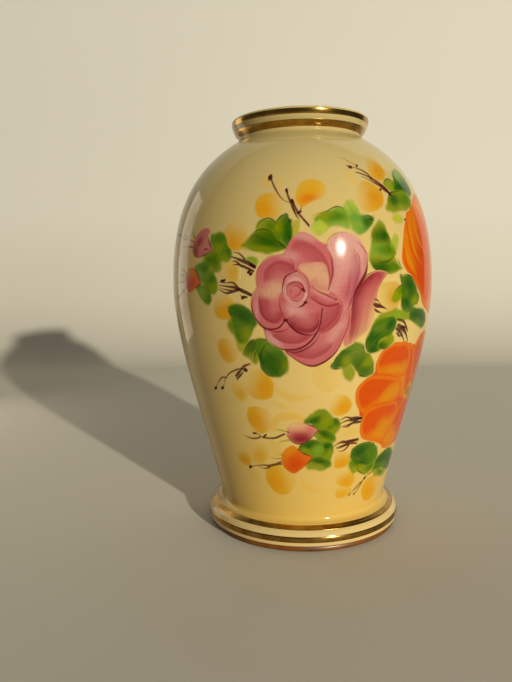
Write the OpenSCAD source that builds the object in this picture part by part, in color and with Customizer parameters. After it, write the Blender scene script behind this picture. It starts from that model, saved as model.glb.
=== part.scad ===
// Porcelain vase: a shouldered body between a bowl-shaped rim collar and a moulded foot.
// Millimetres. The origin is at the centre of the resting face and +Z is up.
// Every piece is turned about the Z axis, so each one is a profile in (radius, height).

/* [Overall] */
// Height from the resting face to the top of the lip
total_h = 280; // [270:1:290]
// Thickness of the body wall at the belly
wall_t = 4.5; // [3.5:0.5:5.5]

/* [Body] */
// Largest radius, at the belly
belly_r = 90; // [84:1:94]
// Height of the largest radius
belly_z = 168; // [155:1:180]
// Radius at the waist, just above the foot
waist_r = 58.5; // [57.5:0.5:60]
// Height of the waist
waist_z = 20; // [19:0.5:22]
// Thickness of the closed bottom
bottom_t = 7; // [5:0.5:9]

/* [Collar] */
// Height of the collar above its joint with the body
collar_h = 14; // [13:0.5:16]
// Outer radius of the lip
lip_r = 46.9; // [46:0.1:48]
// Radius of the bowl curve below the lip
bowl_r = 12.8; // [12.5:0.1:13.5]
// Radius of the straight throat inside the collar
throat_r = 38.5; // [37:0.5:39]
// Depth of the spigot that seats the collar in the body
spigot_h = 4; // [3:0.5:5]

/* [Foot] */
// Height of the joint between foot and body
foot_h = 16; // [15.5:0.5:16.5]
// Largest radius of the foot
foot_r = 68.5; // [67:0.5:70]
// Height of the largest radius of the foot
bulge_z = 8.2; // [7.8:0.1:8.6]
// Radius of the rounded upper part of the foot
bulge_r = 6.9; // [6.7:0.1:7.1]
// Radius of the seat that the body's bottom drops into
seat_r = 54; // [52:0.5:56]
// Depth of that seat
seat_depth = 6; // [5:0.5:6.5]
// Radius of the recess under the foot
recess_r = 50; // [46:0.5:50.5]
// Height of the bare rim that the vase stands on
rim_h = 3.9; // [3:0.1:4.5]

/* [Gilding] */
// Thickness of the fired gold bands
gold_t = 0.12; // [0.1:0.01:0.3]
// Height of the band under the lip
lip_band_h = 3.4; // [2:0.1:3.6]
// Height of the band above the neck
neck_band_h = 3.8; // [2.5:0.1:4.2]
// Height of the band on the foot's largest radius
edge_band_h = 3.9; // [2.6:0.1:4.2]
// Height of the sloping band where the foot meets the body
joint_band_h = 2.2; // [1.6:0.1:2.5]

/* [Hidden] */
$fn = 96;

GLAZE = [0.87, 0.78, 0.56];
GOLD = [0.78, 0.56, 0.20];
BARE_RIM = [0.55, 0.30, 0.08];

// Body: the joints at both ends
neck_z = total_h - collar_h;
neck_r = 43.2;
shoulder_rise = neck_z - belly_z;
bottom_z = foot_h - seat_depth;
floor_z = bottom_z + bottom_t;
joint_r = 62;
spigot_r = throat_r + 1.9;
body_throat_r = throat_r + 0.5;
body_throat_h = 2;
seat_z = neck_z - spigot_h;

// Body: how far the curve handles reach from the waist, the belly and the neck, outside
waist_reach = [9.5, 46];
belly_reach_down = 40;
belly_reach_up = 0.56 * shoulder_rise;
neck_reach = [29.3, -0.175 * shoulder_rise];

// Body: the same inside, where the wall is thinner at the waist than at the belly
inner_waist = [waist_r - 2.8, floor_z + 11];
inner_waist_handle = [waist_r + 4.5, waist_z + waist_reach[1]];
inner_belly_r = belly_r - wall_t;
inner_reach_up = 0.54 * shoulder_rise;
inner_neck = [body_throat_r + 1, seat_z - body_throat_h];
inner_neck_handle = [neck_r + 26.3, neck_z - 0.22 * shoulder_rise];

// Body: the short flare that meets the foot, and the rounded corner of the floor inside
flare = [[joint_r, foot_h], [joint_r - 2.4, foot_h + 0.7],
         [waist_r - 0.4, waist_z - 2], [waist_r, waist_z]];
floor_corner = [[waist_r - 11, floor_z], [waist_r - 5, floor_z],
                [waist_r - 3.6, floor_z + 5], inner_waist];

// Collar: centre of the bowl curve, and where each curve ends
bowl_c = [lip_r - bowl_r, total_h - 1];
cove_top_z = total_h - 11.4;
lip_round_r = 1.2;
lip_start_z = total_h - lip_round_r;
lip_inner_r = lip_r - 2.4;
throat_top_z = total_h - 8;
lip_band_z = total_h - 1.3 - lip_band_h;
cove_reach = [[-0.9, 0.4], [-1.5, 1.4]];
throat_flare = 1.8;
throat_reach = 4;

// Foot: lower edge is a long, nearly upright curve
skirt_r = 18;
skirt_inset = 0.7;
skirt_lift = 0.5;
tongue_h = 1.5;
tongue_r = [56, 62];
rim_r = [52, 66.4];
rim_chamfer = 0.4;
rim_flare = 0.6;
edge_band_z = bulge_z - 1.6;
joint_band_z = foot_h - joint_band_h;

// Heights from a to b in n steps
function steps(a, b, n) = [for (i = [0:n]) a + (b - a) * i / n];

// Points of a cubic Bezier curve through p[0] and p[3]
function bezier(p, n) = [for (i = [0:n]) let (t = i / n, s = 1 - t)
    s * s * s * p[0] + 3 * s * s * t * p[1] + 3 * s * t * t * p[2] + t * t * t * p[3]];

// Outside and inside of the body wall below and above the belly, as Bezier handles
lower_outer = [[waist_r, waist_z], [waist_r, waist_z] + waist_reach,
               [belly_r, belly_z - belly_reach_down], [belly_r, belly_z]];
upper_outer = [[belly_r, belly_z], [belly_r, belly_z + belly_reach_up],
               [neck_r, neck_z] + neck_reach, [neck_r, neck_z]];
lower_inner = [inner_waist, inner_waist_handle,
               [inner_belly_r, belly_z - belly_reach_down], [inner_belly_r, belly_z]];
upper_inner = [[inner_belly_r, belly_z], [inner_belly_r, belly_z + inner_reach_up],
               inner_neck_handle, inner_neck];

// Radius of the foot at height z: a tight round above the bulge, a long curve below it
function foot_at(z) = z > bulge_z
    ? foot_r - bulge_r + sqrt(bulge_r ^ 2 - (z - bulge_z) ^ 2)
    : foot_r - skirt_r + sqrt(skirt_r ^ 2 - (bulge_z - z) ^ 2);

// Radius of the collar's bowl at height z
function bowl_at(z) = bowl_c[0] + sqrt(bowl_r ^ 2 - (bowl_c[1] - z) ^ 2);

// Slope that joins the foot's round to its top edge, under the joint's gold band
joint_band_r = foot_at(joint_band_z);
function slope_at(z) = joint_r + (joint_band_r - joint_r) * (foot_h - z) / joint_band_h;

function foot_points(z) = [for (h = z) [foot_at(h), h]];
function bowl_points(z) = [for (h = z) [bowl_at(h), h]];
function slope_points(z) = [for (h = z) [slope_at(h), h]];

edge_band_steps = steps(edge_band_z, edge_band_z + edge_band_h, 4);
joint_band_steps = steps(joint_band_z, foot_h, 2);
neck_band_steps = steps(cove_top_z, cove_top_z + neck_band_h, 4);
lip_band_steps = steps(lip_band_z, lip_band_z + lip_band_h, 4);

module turned(points) {
    rotate_extrude() polygon(points);
}

// A thin gold skin on the outside of the given profile points
module gold_band(points) {
    outside = [for (i = [len(points) - 1:-1:0]) points[i] + [gold_t, 0]];
    color(GOLD) turned(concat(points, outside));
}

// Hollow body with a closed bottom that drops into the foot and a seat for the collar
module body() {
    outer = concat(bezier(flare, 8), bezier(lower_outer, 28), bezier(upper_outer, 32));
    inner = concat(bezier(floor_corner, 6), bezier(lower_inner, 24), bezier(upper_inner, 28));
    reversed_inner = [for (i = [len(inner) - 1:-1:0]) inner[i]];
    color(GLAZE) turned(concat(
        [[0, bottom_z], [seat_r, bottom_z], [seat_r, foot_h]],
        outer,
        [[spigot_r, neck_z], [spigot_r, seat_z], [body_throat_r, seat_z],
         [body_throat_r, seat_z - body_throat_h]],
        reversed_inner,
        [[0, floor_z]]));
}

// Rim collar: a spigot below the joint, a cove, the bowl and a rounded lip
module collar() {
    neck = [neck_r, neck_z];
    cove = [neck, neck + cove_reach[0], neck + cove_reach[1], [bowl_at(cove_top_z), cove_top_z]];
    above_neck_band = steps(cove_top_z + neck_band_h, lip_band_z, 5);
    lip = [for (a = [0:15:90])
        [lip_r - lip_round_r + lip_round_r * cos(a), lip_start_z + lip_round_r * sin(a)]];
    inside = bezier([[lip_inner_r, total_h], [lip_inner_r - throat_flare, total_h],
                     [throat_r, throat_top_z + throat_reach], [throat_r, throat_top_z]], 10);
    color(GLAZE) turned(concat(
        [[throat_r, seat_z], [spigot_r, seat_z], [spigot_r, neck_z]],
        bezier(cove, 8),
        bowl_points(neck_band_steps),
        bowl_points(above_neck_band),
        bowl_points(lip_band_steps),
        lip,
        inside));
}

// Foot: a moulded ring that carries the body and is keyed to the rim below it
module foot() {
    groove_z = rim_h + tongue_h;
    color(GLAZE) turned(concat(
        [[recess_r, rim_h], [tongue_r[0], rim_h], [tongue_r[0], groove_z],
         [tongue_r[1], groove_z], [tongue_r[1], rim_h], [foot_at(rim_h) - skirt_inset, rim_h]],
        foot_points(steps(rim_h + skirt_lift, edge_band_z, 4)),
        foot_points(edge_band_steps),
        foot_points(steps(edge_band_z + edge_band_h, joint_band_z, 10)),
        slope_points(joint_band_steps),
        [[seat_r, foot_h], [seat_r, bottom_z], [recess_r, bottom_z]]));
}

// Bare rim under the foot, with a tongue that keys it into the foot's groove
module foot_rim() {
    color(BARE_RIM) turned([
        [rim_r[0], 0], [rim_r[1] - rim_chamfer, 0], [rim_r[1], rim_chamfer],
        [rim_r[1] + rim_flare, rim_h],
        [tongue_r[1], rim_h], [tongue_r[1], rim_h + tongue_h],
        [tongue_r[0], rim_h + tongue_h], [tongue_r[0], rim_h], [rim_r[0], rim_h]]);
}

module lip_gold_band() {
    gold_band(bowl_points(lip_band_steps));
}

module neck_gold_band() {
    gold_band(bowl_points(neck_band_steps));
}

module foot_joint_gold_band() {
    gold_band(slope_points(joint_band_steps));
}

module foot_edge_gold_band() {
    gold_band(foot_points(edge_band_steps));
}

body();
collar();
foot();
foot_rim();
lip_gold_band();
neck_gold_band();
foot_joint_gold_band();
foot_edge_gold_band();
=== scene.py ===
"""A hand-painted porcelain vase: glaze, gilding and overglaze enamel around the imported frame.

The painting is laid out on the body's outside as (s, z) in millimetres: s runs round the belly
from the front, positive towards +X, and z is the height. Each motif is painted on a Sheet, a fine
grid of that surface, in layers of enamel, and becomes a thin shell fused on the glaze.
"""
import math

import bpy
import numpy as np
from mathutils import Matrix, Vector


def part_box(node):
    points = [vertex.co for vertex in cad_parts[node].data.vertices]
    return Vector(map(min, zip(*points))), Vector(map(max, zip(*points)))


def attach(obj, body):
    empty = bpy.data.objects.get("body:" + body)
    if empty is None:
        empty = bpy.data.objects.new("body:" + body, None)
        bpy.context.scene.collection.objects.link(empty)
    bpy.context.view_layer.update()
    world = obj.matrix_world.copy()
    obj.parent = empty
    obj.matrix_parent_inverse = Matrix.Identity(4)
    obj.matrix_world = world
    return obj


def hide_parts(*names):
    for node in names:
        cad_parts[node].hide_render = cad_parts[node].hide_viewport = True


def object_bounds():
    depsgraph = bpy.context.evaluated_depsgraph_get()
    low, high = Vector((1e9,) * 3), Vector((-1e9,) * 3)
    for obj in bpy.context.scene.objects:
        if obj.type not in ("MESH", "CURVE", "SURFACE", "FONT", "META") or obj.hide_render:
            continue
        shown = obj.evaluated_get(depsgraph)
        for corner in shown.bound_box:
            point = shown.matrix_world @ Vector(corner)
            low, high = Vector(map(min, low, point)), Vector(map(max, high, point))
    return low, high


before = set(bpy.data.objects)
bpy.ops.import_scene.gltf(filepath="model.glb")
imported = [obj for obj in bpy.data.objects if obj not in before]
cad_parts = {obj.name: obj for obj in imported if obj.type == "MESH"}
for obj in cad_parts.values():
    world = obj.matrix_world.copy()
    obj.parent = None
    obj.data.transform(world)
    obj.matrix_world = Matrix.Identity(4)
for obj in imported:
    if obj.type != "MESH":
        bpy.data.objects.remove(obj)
CAD_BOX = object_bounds()

MM = 0.001
BELLY_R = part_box("body")[1].x / MM
HEIGHT = CAD_BOX[1][2] / MM


# ---------------------------------------------------------------- profiles, in millimetres

def bezier(handles, count):
    """Points of a cubic Bezier curve."""
    p = np.array(handles, float)
    t = np.linspace(0, 1, count + 1)[:, None]
    u = 1 - t
    return u ** 3 * p[0] + 3 * u * u * t * p[1] + 3 * u * t * t * p[2] + t ** 3 * p[3]


def arc(centre, radius, start, end, count):
    """Points of a circular arc between two angles in degrees."""
    a = np.radians(np.linspace(start, end, count + 1))
    return np.stack([centre[0] + radius * np.cos(a), centre[1] + radius * np.sin(a)], 1)


def joined(*parts):
    """One profile from several stretches, without doubled points."""
    points = [np.asarray(part, float).reshape(-1, 2) for part in parts]
    line = np.concatenate(points)
    keep = np.ones(len(line), bool)
    keep[1:] = np.hypot(*(line[1:] - line[:-1]).T) > 1e-4
    return line[keep]


FOOT_TOP = 16.0
BELLY_Z = 168.0
NECK = (43.2, 266.0)
WAIST = (58.5, 20.0)
WALL = 4.5
AXIS_R = 0.4
BOTTOM_Z = 10.0
FLOOR_Z = 17.0
SEAT_R = 54.0
SPIGOT_Z = 262.0
THROAT_TOP = 272.0
COVE_TOP = HEIGHT - 11.4
LIP_ROUND = 1.2
RIM_H = 3.9
RIM_R = (52.0, 66.45)
RECESS_R = 50.0
GROOVE_R = (56.0, 62.0)
GROOVE_TOP = 5.4

FLARE = bezier([(62, FOOT_TOP), (59.6, 16.7), (58.1, 18), WAIST], 12)
LOWER = bezier([WAIST, (68, 66), (BELLY_R, 128), (BELLY_R, BELLY_Z)], 110)
UPPER = bezier([(BELLY_R, BELLY_Z), (BELLY_R, 222.88), (72.5, 248.85), NECK], 110)
OUTSIDE = joined(FLARE, LOWER, UPPER)


def outside_radius(z):
    """Radius of the body's outside at a height."""
    return np.interp(z, OUTSIDE[:, 1], OUTSIDE[:, 0])


def outside_slope(z):
    """Change of radius with height on the outside."""
    return (outside_radius(z + 0.4) - outside_radius(z - 0.4)) / 0.8


BOWL_R = 12.8
BOWL_C = (34.1, HEIGHT - 1)
LIP_R = 46.9
THROAT_R = 38.5
FOOT_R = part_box("foot")[1].x / MM
BULGE_Z = 8.2
BULGE_R = 6.9
SKIRT_R = 18.0


def bowl_radius(z):
    """Radius of the collar's bowl at a height."""
    return BOWL_C[0] + np.sqrt(BOWL_R ** 2 - (BOWL_C[1] - z) ** 2)


def foot_radius(z):
    """Radius of the foot: a tight round above the bulge and a long curve below it."""
    upper = FOOT_R - BULGE_R + np.sqrt(np.maximum(BULGE_R ** 2 - (z - BULGE_Z) ** 2, 0))
    lower = FOOT_R - SKIRT_R + np.sqrt(SKIRT_R ** 2 - (BULGE_Z - z) ** 2)
    return np.where(z > BULGE_Z, upper, lower)


def along_z(radius, low, high, count):
    """Profile points of a radius function between two heights."""
    z = np.linspace(low, high, count + 1)
    return np.stack([radius(z), z], 1)


# ---------------------------------------------------------------- meshes

def mesh_object(name, points, quads):
    """An object from vertex positions in metres and four-sided faces."""
    mesh = bpy.data.meshes.new(name)
    mesh.vertices.add(len(points))
    mesh.vertices.foreach_set("co", np.ascontiguousarray(points, np.float32).ravel())
    mesh.loops.add(len(quads) * 4)
    mesh.loops.foreach_set("vertex_index", np.ascontiguousarray(quads, np.int32).ravel())
    mesh.polygons.add(len(quads))
    mesh.polygons.foreach_set("loop_start", np.arange(0, len(quads) * 4, 4, dtype=np.int32))
    mesh.polygons.foreach_set("use_smooth", np.ones(len(quads), bool))
    mesh.update(calc_edges=True)
    mesh.validate()
    piece = bpy.data.objects.new(name, mesh)
    bpy.context.scene.collection.objects.link(piece)
    return piece


def turned(name, profile, around=384, wobble=0.0):
    """A closed profile turned about the Z axis. wobble waves the edges of a hand-laid band."""
    p = np.asarray(profile, float)
    n = len(p)
    a = np.linspace(0, 2 * math.pi, around, endpoint=False)
    radius = np.repeat(p[None, :, 0], around, 0)
    height = np.repeat(p[None, :, 1], around, 0)
    if wobble:
        middle = height.mean()
        wave = sum(np.sin(a * k + k * k) / k for k in (3, 7, 16, 31))
        height = height + wobble * wave[:, None] * np.sign(height - middle)
    x = radius * np.sin(a)[:, None]
    y = -radius * np.cos(a)[:, None]
    points = np.stack([x, y, height], -1).reshape(-1, 3) * MM
    i, j = np.meshgrid(np.arange(around), np.arange(n), indexing="ij")
    ni, nj = (i + 1) % around, (j + 1) % n
    quads = np.stack([i * n + j, ni * n + j, ni * n + nj, i * n + nj], -1).reshape(-1, 4)
    return mesh_object(name, points, quads)


# ---------------------------------------------------------------- colour helpers

def tint(red, green, blue):
    """Linear colour from 0 to 255 screen values."""
    c = np.array([red, green, blue], float) / 255
    return np.where(c <= 0.04045, c / 12.92, ((c + 0.055) / 1.055) ** 2.4)


def rgba(colour):
    """The colour as a node socket takes it."""
    return tuple(float(v) for v in colour) + (1.0,)


# The first two ground colours are painted light: shade that darkens the shoulder, and a warm floor
# reflection near the foot. The middle colour is the glaze's own.
GROUND_HIGH_SHADED = tint(184, 166, 114)
GROUND_LOW_FLOOR_REFLECTION = tint(208, 172, 86)
GROUND_MID = tint(212, 184, 116)
GROUND_FOOT = tint(206, 180, 124)
GROUND_DEEP = tint(200, 168, 98)
GLAZE_SPECK = tint(176, 136, 70)
GOLD_BRIGHT = tint(190, 150, 78)
GOLD_DULL = tint(134, 98, 42)
GOLD_WORN = tint(96, 62, 26)
# The rim's amber and brown are a painted glow of light shining through its edge. The third colour
# darkens its bottom edge.
RIM_AMBER_GLOW = tint(122, 74, 16)
RIM_BROWN_GLOW = tint(84, 42, 8)
RIM_BOTTOM_DARK = tint(66, 38, 16)
FLOOR_GREY = tint(188, 183, 172)
FLOOR_PALE = tint(193, 188, 178)
WALL_GREY = tint(212, 209, 203)
WALL_PALE = tint(216, 213, 207)

PINK_PALE = tint(202, 150, 142)
PINK = tint(184, 96, 100)
ROSE = tint(166, 58, 70)
CRIMSON = tint(138, 18, 38)
DEEP = tint(116, 6, 26)
BURGUNDY = tint(92, 0, 14)
PEACH = tint(200, 154, 122)
LEAF_DARK = tint(12, 74, 0)
LEAF = tint(70, 109, 0)
LEAF_LEFT = tint(96, 128, 8)
LEAF_LOW = tint(92, 124, 0)
LEAF_YELLOW = tint(124, 134, 0)
LEAF_PALE = tint(120, 152, 52)
ORANGE = tint(206, 106, 0)
ORANGE_RED = tint(196, 62, 0)
ORANGE_YELLOW = tint(200, 128, 0)
OCHRE = tint(202, 150, 0)
OCHRE_STRONG = tint(208, 136, 0)
OCHRE_PALE = tint(206, 166, 68)
TWIG_DARK = tint(54, 0, 6)
TWIG = tint(90, 30, 16)
PLUM = tint(156, 52, 78)
PLUM_SOFT = tint(150, 58, 84)
LEAF_OLIVE = tint(160, 150, 20)
LEAF_LIME = tint(120, 150, 20)
LEAF_MIST = tint(120, 156, 50)
LEAF_LIGHT = tint(152, 176, 60)
LEAF_SOFT = tint(92, 146, 60)
LEAF_BRIGHT = tint(168, 180, 60)
LEAF_FRESH = tint(150, 166, 40)
LEAF_RUSSET = tint(154, 152, 16)
LEAF_TENDER = tint(168, 172, 40)
LEAF_GREY = tint(88, 132, 50)
LEAF_DULL = tint(112, 146, 40)
LEAF_MOSS = tint(140, 140, 12)
STEM_GOLD = tint(190, 160, 50)
STEM_PALE = tint(170, 130, 70)
STEM_TAN = tint(130, 84, 40)
STEM_BROWN = tint(120, 76, 36)
STEM_LIGHT = tint(150, 104, 50)
STEM_DULL = tint(96, 66, 20)
STEM_OLIVE = tint(90, 70, 20)
STEM_ROSY = tint(120, 84, 60)
STEM_ASH = tint(110, 80, 50)
SEPAL_OLIVE = tint(150, 142, 20)
SEPAL_DARK = tint(74, 58, 10)
SEPAL_BROWN = tint(110, 92, 20)
BUD_PINK = tint(190, 110, 104)
BUD_ORANGE = tint(208, 92, 50)
BUD_RUST = tint(196, 74, 40)
BUD_BLUSH = tint(206, 138, 108)
BUD_CREAM = tint(214, 168, 122)
OCHRE_SOFT = tint(190, 148, 50)
OCHRE_SOFT_CORE = tint(188, 136, 0)
OCHRE_TOP = tint(194, 142, 20)
OCHRE_TOP_CORE = tint(190, 120, 0)
OCHRE_TIP = tint(196, 144, 20)
OCHRE_TIP_CORE = tint(190, 124, 0)
OCHRE_RED = tint(204, 100, 0)
OCHRE_RING = tint(212, 166, 62)
OCHRE_FAINT = tint(226, 172, 104)
ORANGE_RIM = tint(196, 78, 0)
ORANGE_SEAM = tint(196, 56, 0)
ORANGE_DEEP = tint(178, 60, 0)
HEART_YELLOW = tint(200, 150, 10)
HEART_BROWN = tint(120, 60, 10)
STAMEN = tint(96, 30, 10)


# ---------------------------------------------------------------- paint engine

def smooth(low, high, x):
    """Eased step from 0 at low to 1 at high."""
    t = np.clip((x - low) / (high - low), 0, 1)
    return t * t * (3 - 2 * t)


LATTICE = 64


def clouds(s, z, scale, seed):
    """Soft noise from 0 to 1 with features of about scale millimetres (one number or a pair)."""
    across, up = scale if isinstance(scale, tuple) else (scale, scale)
    lattice = np.random.RandomState(seed).rand(LATTICE, LATTICE)
    x, y = s / across, z / up
    ix, iy = np.floor(x).astype(int), np.floor(y).astype(int)
    fx, fy = x - ix, y - iy
    fx, fy = fx * fx * (3 - 2 * fx), fy * fy * (3 - 2 * fy)

    def at(dx, dy):
        return lattice[(ix + dx) % LATTICE, (iy + dy) % LATTICE]

    low = at(0, 0) * (1 - fx) + at(1, 0) * fx
    high = at(0, 1) * (1 - fx) + at(1, 1) * fx
    return low * (1 - fy) + high * fy


def spline(points, closed=False, per_span=7):
    """A smooth curve through given points."""
    p = np.array(points, float)
    if closed:
        p = np.concatenate([p[-1:], p, p[:2]])
    else:
        p = np.concatenate([2 * p[:1] - p[1:2], p, 2 * p[-1:] - p[-2:-1]])
    t = np.linspace(0, 1, per_span, endpoint=False)[:, None]
    spans = []
    for a, b, c, d in zip(p[:-3], p[1:-2], p[2:-1], p[3:]):
        spans.append(0.5 * (2 * b + (c - a) * t + (2 * a - 5 * b + 4 * c - d) * t ** 2
                            + (3 * b - a - 3 * c + d) * t ** 3))
    return np.concatenate(spans + [p[-2:-1]])


def nearest(s, z, path):
    """Signed distance to a path (positive on its left), and the share of its length passed."""
    best = np.full(s.shape, 1e9)
    share = np.zeros(s.shape)
    side = np.ones(s.shape)
    inside = np.zeros(s.shape, bool)
    run = np.diff(path, axis=0)
    length = np.maximum(np.hypot(run[:, 0], run[:, 1]), 1e-6)
    start = np.concatenate([[0], np.cumsum(length)])
    for (a, (rs, rz), size, before) in zip(path, run, length, start):
        ds, dz = s - a[0], z - a[1]
        t = np.clip((ds * rs + dz * rz) / size ** 2, 0, 1)
        gap = (ds - t * rs) ** 2 + (dz - t * rz) ** 2
        closer = gap < best
        best = np.where(closer, gap, best)
        share = np.where(closer, before + t * size, share)
        side = np.where(closer, np.sign(rs * dz - rz * ds), side)
        if rz:
            inside ^= ((dz >= 0) != (dz >= rz)) & (ds < rs * dz / rz)
    return np.sqrt(best), side, share / start[-1], inside


# How far a hand-drawn edge strays and how long its waves are, in millimetres
HAND_WAVER = 0.9
HAND_SWAY = 7


class Sheet:
    """A window of the body's surface that takes layers of enamel: its colour, how fully it covers
    the glaze and how high it stands. The strokes are drawn in hs and hz, which waver like a hand,
    and root is where the brush hairs of the next leaves spread from."""

    def __init__(self, low, high, step=0.4, seed=1):
        self.step = step
        self.seed = seed
        self.root = None
        self.s, self.z = np.meshgrid(np.arange(low[0], high[0] + step, step),
                                     np.arange(low[1], high[1] + step, step))
        self.colour = np.zeros(self.s.shape + (3,))
        self.cover = np.zeros(self.s.shape)
        self.lift = np.zeros(self.s.shape)
        self.hs = self.s + HAND_WAVER * (clouds(self.s, self.z, HAND_SWAY, seed) - 0.5)
        self.hz = self.z + HAND_WAVER * (clouds(self.s, self.z, HAND_SWAY, seed + 1) - 0.5)

    def window(self, path, margin):
        """The part of the grid within margin of a path."""
        low, high = path.min(0) - margin, path.max(0) + margin
        cols = np.where((self.s[0] >= low[0]) & (self.s[0] <= high[0]))[0]
        rows = np.where((self.z[:, 0] >= low[1]) & (self.z[:, 0] <= high[1]))[0]
        return slice(rows[0], rows[-1] + 1), slice(cols[0], cols[-1] + 1)

    def lay(self, w, amount, colour, thick=0.4):
        """Lays colour over what is there, as much as amount says (0 to 1)."""
        amount = np.clip(amount, 0, 1)
        under = self.cover[w] * (1 - amount)
        total = amount + under
        share = (amount / np.maximum(total, 1e-6))[..., None]
        self.colour[w] = self.colour[w] * (1 - share) + np.asarray(colour) * share
        self.cover[w] = total
        self.lift[w] += thick * amount * (1 - self.lift[w])

    def hairs(self, w, along, across, depth):
        """Streaks left by the brush hairs, along a stroke."""
        fine = clouds(along, across, (18, 0.7), self.seed + 5)
        broad = clouds(along, across, (26, 2.1), self.seed + 6)
        return 1 - depth * (0.6 * fine + 0.4 * broad)

    def fill(self, outline, colour, soft=0.45, strength=1.0, fade=None, streak=0.12, ragged=0.0):
        """Fills a closed outline and returns its mask. fade=((s, z), (s, z)) lets the paint
        thin out from the first point to the second, and ragged roughens the edge."""
        path = spline(outline, closed=True)
        w = self.window(path, 3)
        s, z = self.hs[w], self.hz[w]
        gap, _, _, inside = nearest(s, z, path)
        depth = np.where(inside, gap, -gap)
        depth = depth + ragged * (clouds(s, z, 2.8, self.seed + 3) - 0.5)
        mask = smooth(-soft, soft, depth)
        amount = mask * strength
        if fade:
            a, b = np.array(fade, float)
            way = ((s - a[0]) * (b - a)[0] + (z - a[1]) * (b - a)[1]) / ((b - a) ** 2).sum()
            amount = amount * (1 - smooth(0, 1, way))
        amount = amount * self.hairs(w, s + z, depth, streak)
        self.lay(w, amount, colour)
        return w, mask, depth

    def shade(self, path, colour, reach, clip, strength=1.0, crisp=0.45, streak=0.45, ends=0.14):
        """A loaded stroke: crisp along the path and fading to its left over reach."""
        w, mask, _ = clip
        s, z = self.hs[w], self.hz[w]
        gap, side, share, _ = nearest(s, z, spline(path))
        depth = gap * side
        taper = smooth(0, ends, share) * smooth(0, ends, 1 - share)
        falloff = 1 - smooth(-0.1, 1, np.maximum(depth, 0) / (reach * (0.45 + 0.55 * taper)))
        amount = strength * mask * smooth(-crisp, crisp, depth) * falloff * (0.25 + 0.75 * taper)
        amount = amount * self.hairs(w, share * 40, depth, streak)
        self.lay(w, amount, colour, 0.15)

    def grain(self, clip, along, across, light, dark, strength):
        """Light and dark hair lines of the brush inside a mask."""
        w, mask, _ = clip
        hair = 0.6 * clouds(along, across, (15, 0.6), self.seed + 7)
        hair = hair + 0.4 * clouds(along, across, (24, 1.9), self.seed + 8)
        self.lay(w, strength * mask * smooth(0.5, 0.8, hair), light, 0.1)
        self.lay(w, strength * mask * smooth(0.5, 0.22, hair), dark, 0.1)

    def follow(self, clip, guide, light, dark, strength=0.4, reach=9.0):
        """Hair lines that run alongside a guide path and die out within reach of it."""
        w = clip[0]
        guide = spline(guide)
        gap, side, share, _ = nearest(self.hs[w], self.hz[w], guide)
        length = np.hypot(*np.diff(guide, axis=0).T).sum()
        self.grain(clip, share * length, gap * side, light, dark,
                   strength * np.clip(1.3 - gap / reach, 0, 1))

    def fan(self, clip, root, light, dark, strength=0.6):
        """Hair lines that spread from a root."""
        w = clip[0]
        ds, dz = self.hs[w] - root[0], self.hz[w] - root[1]
        away = np.hypot(ds, dz)
        self.grain(clip, away, np.arctan2(dz, ds) * 11 + 40, light, dark,
                   strength * smooth(0, 5, away))

    def blot(self, centre, radii, colour, clip, tilt=0.0, strength=0.9, streak=0.3):
        """A soft-edged dab inside a mask, long along tilt degrees."""
        w, mask, _ = clip
        a = math.radians(tilt)
        ds, dz = self.hs[w] - centre[0], self.hz[w] - centre[1]
        u = ds * math.cos(a) + dz * math.sin(a)
        v = dz * math.cos(a) - ds * math.sin(a)
        r2 = (u / radii[0]) ** 2 + (v / radii[1]) ** 2
        amount = strength * mask * np.exp(-r2 ** 1.3)
        amount = amount * self.hairs(w, u, v, streak)
        self.lay(w, amount, colour, 0.15)

    def line(self, path, colour, width, start=0.25, end=0.25, strength=1.0, belly=0.5, soft=0.1):
        """A brush line: width is at its belly, start and end are the shares of it at the ends."""
        path = spline(path)
        w = self.window(path, width + 2)
        s, z = self.hs[w], self.hz[w]
        gap, _, share, _ = nearest(s, z, path)
        rise = smooth(0, belly, share)
        drop = smooth(0, 1 - belly, 1 - share)
        half = width / 2 * np.where(share < belly, start + (1 - start) * rise, end + (1 - end) * drop)
        edge = 0.5 * self.step + soft
        amount = strength * smooth(-edge, edge, half - gap)
        amount = amount * (1 - 0.1 * clouds(s, z, 1.6, self.seed + 9))
        self.lay(w, amount, colour, 0.3)

    def spot(self, centre, radii, heavy, colour=OCHRE, core=OCHRE_STRONG, strength=0.95, tilt=0.0):
        """A round dab of one brush press, heavier and crisper towards the heavy angle."""
        a = np.radians(np.arange(0, 360, 45))
        lean = math.radians(tilt)
        ragged = 1 + 0.07 * np.sin(3 * a + centre[0])
        u, v = radii[0] * ragged * np.cos(a), radii[1] * ragged * np.sin(a)
        ring = np.stack([centre[0] + u * math.cos(lean) - v * math.sin(lean),
                         centre[1] + u * math.sin(lean) + v * math.cos(lean)], 1)
        way = np.array([math.cos(math.radians(heavy)), math.sin(math.radians(heavy))])
        far = np.array(centre) - way * np.array(radii) * 1.35
        near = np.array(centre) + way * np.array(radii) * 0.3
        mask = self.fill(ring, colour, 0.6, strength, fade=(near, far), streak=0.12)
        if strength > 0.5:
            self.blot(np.array(centre) + way * np.array(radii) * 0.4,
                      (radii[0] * 0.55, radii[1] * 0.55), core, mask, tilt, 0.8)


def blurred(field, cells):
    """A soft copy of a field, from three running means."""
    for axis in (0, 1):
        for _ in range(3):
            pad = [(0, 0), (0, 0)]
            pad[axis] = (cells + 1, cells)
            total = np.cumsum(np.pad(field, pad, mode="edge"), axis=axis)
            n = 2 * cells + 1
            if axis == 0:
                field = (total[n:] - total[:-n]) / n
            else:
                field = (total[:, n:] - total[:, :-n]) / n
    return field


# Height of the enamel over the glaze, depth of its edge, depth of the shell's underside, and
# height that each level adds, in millimetres
ENAMEL_LIFT = 0.045
ENAMEL_SINK = 0.02
ENAMEL_ROOT = 0.12
LEVEL_LIFT = 0.025
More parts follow.
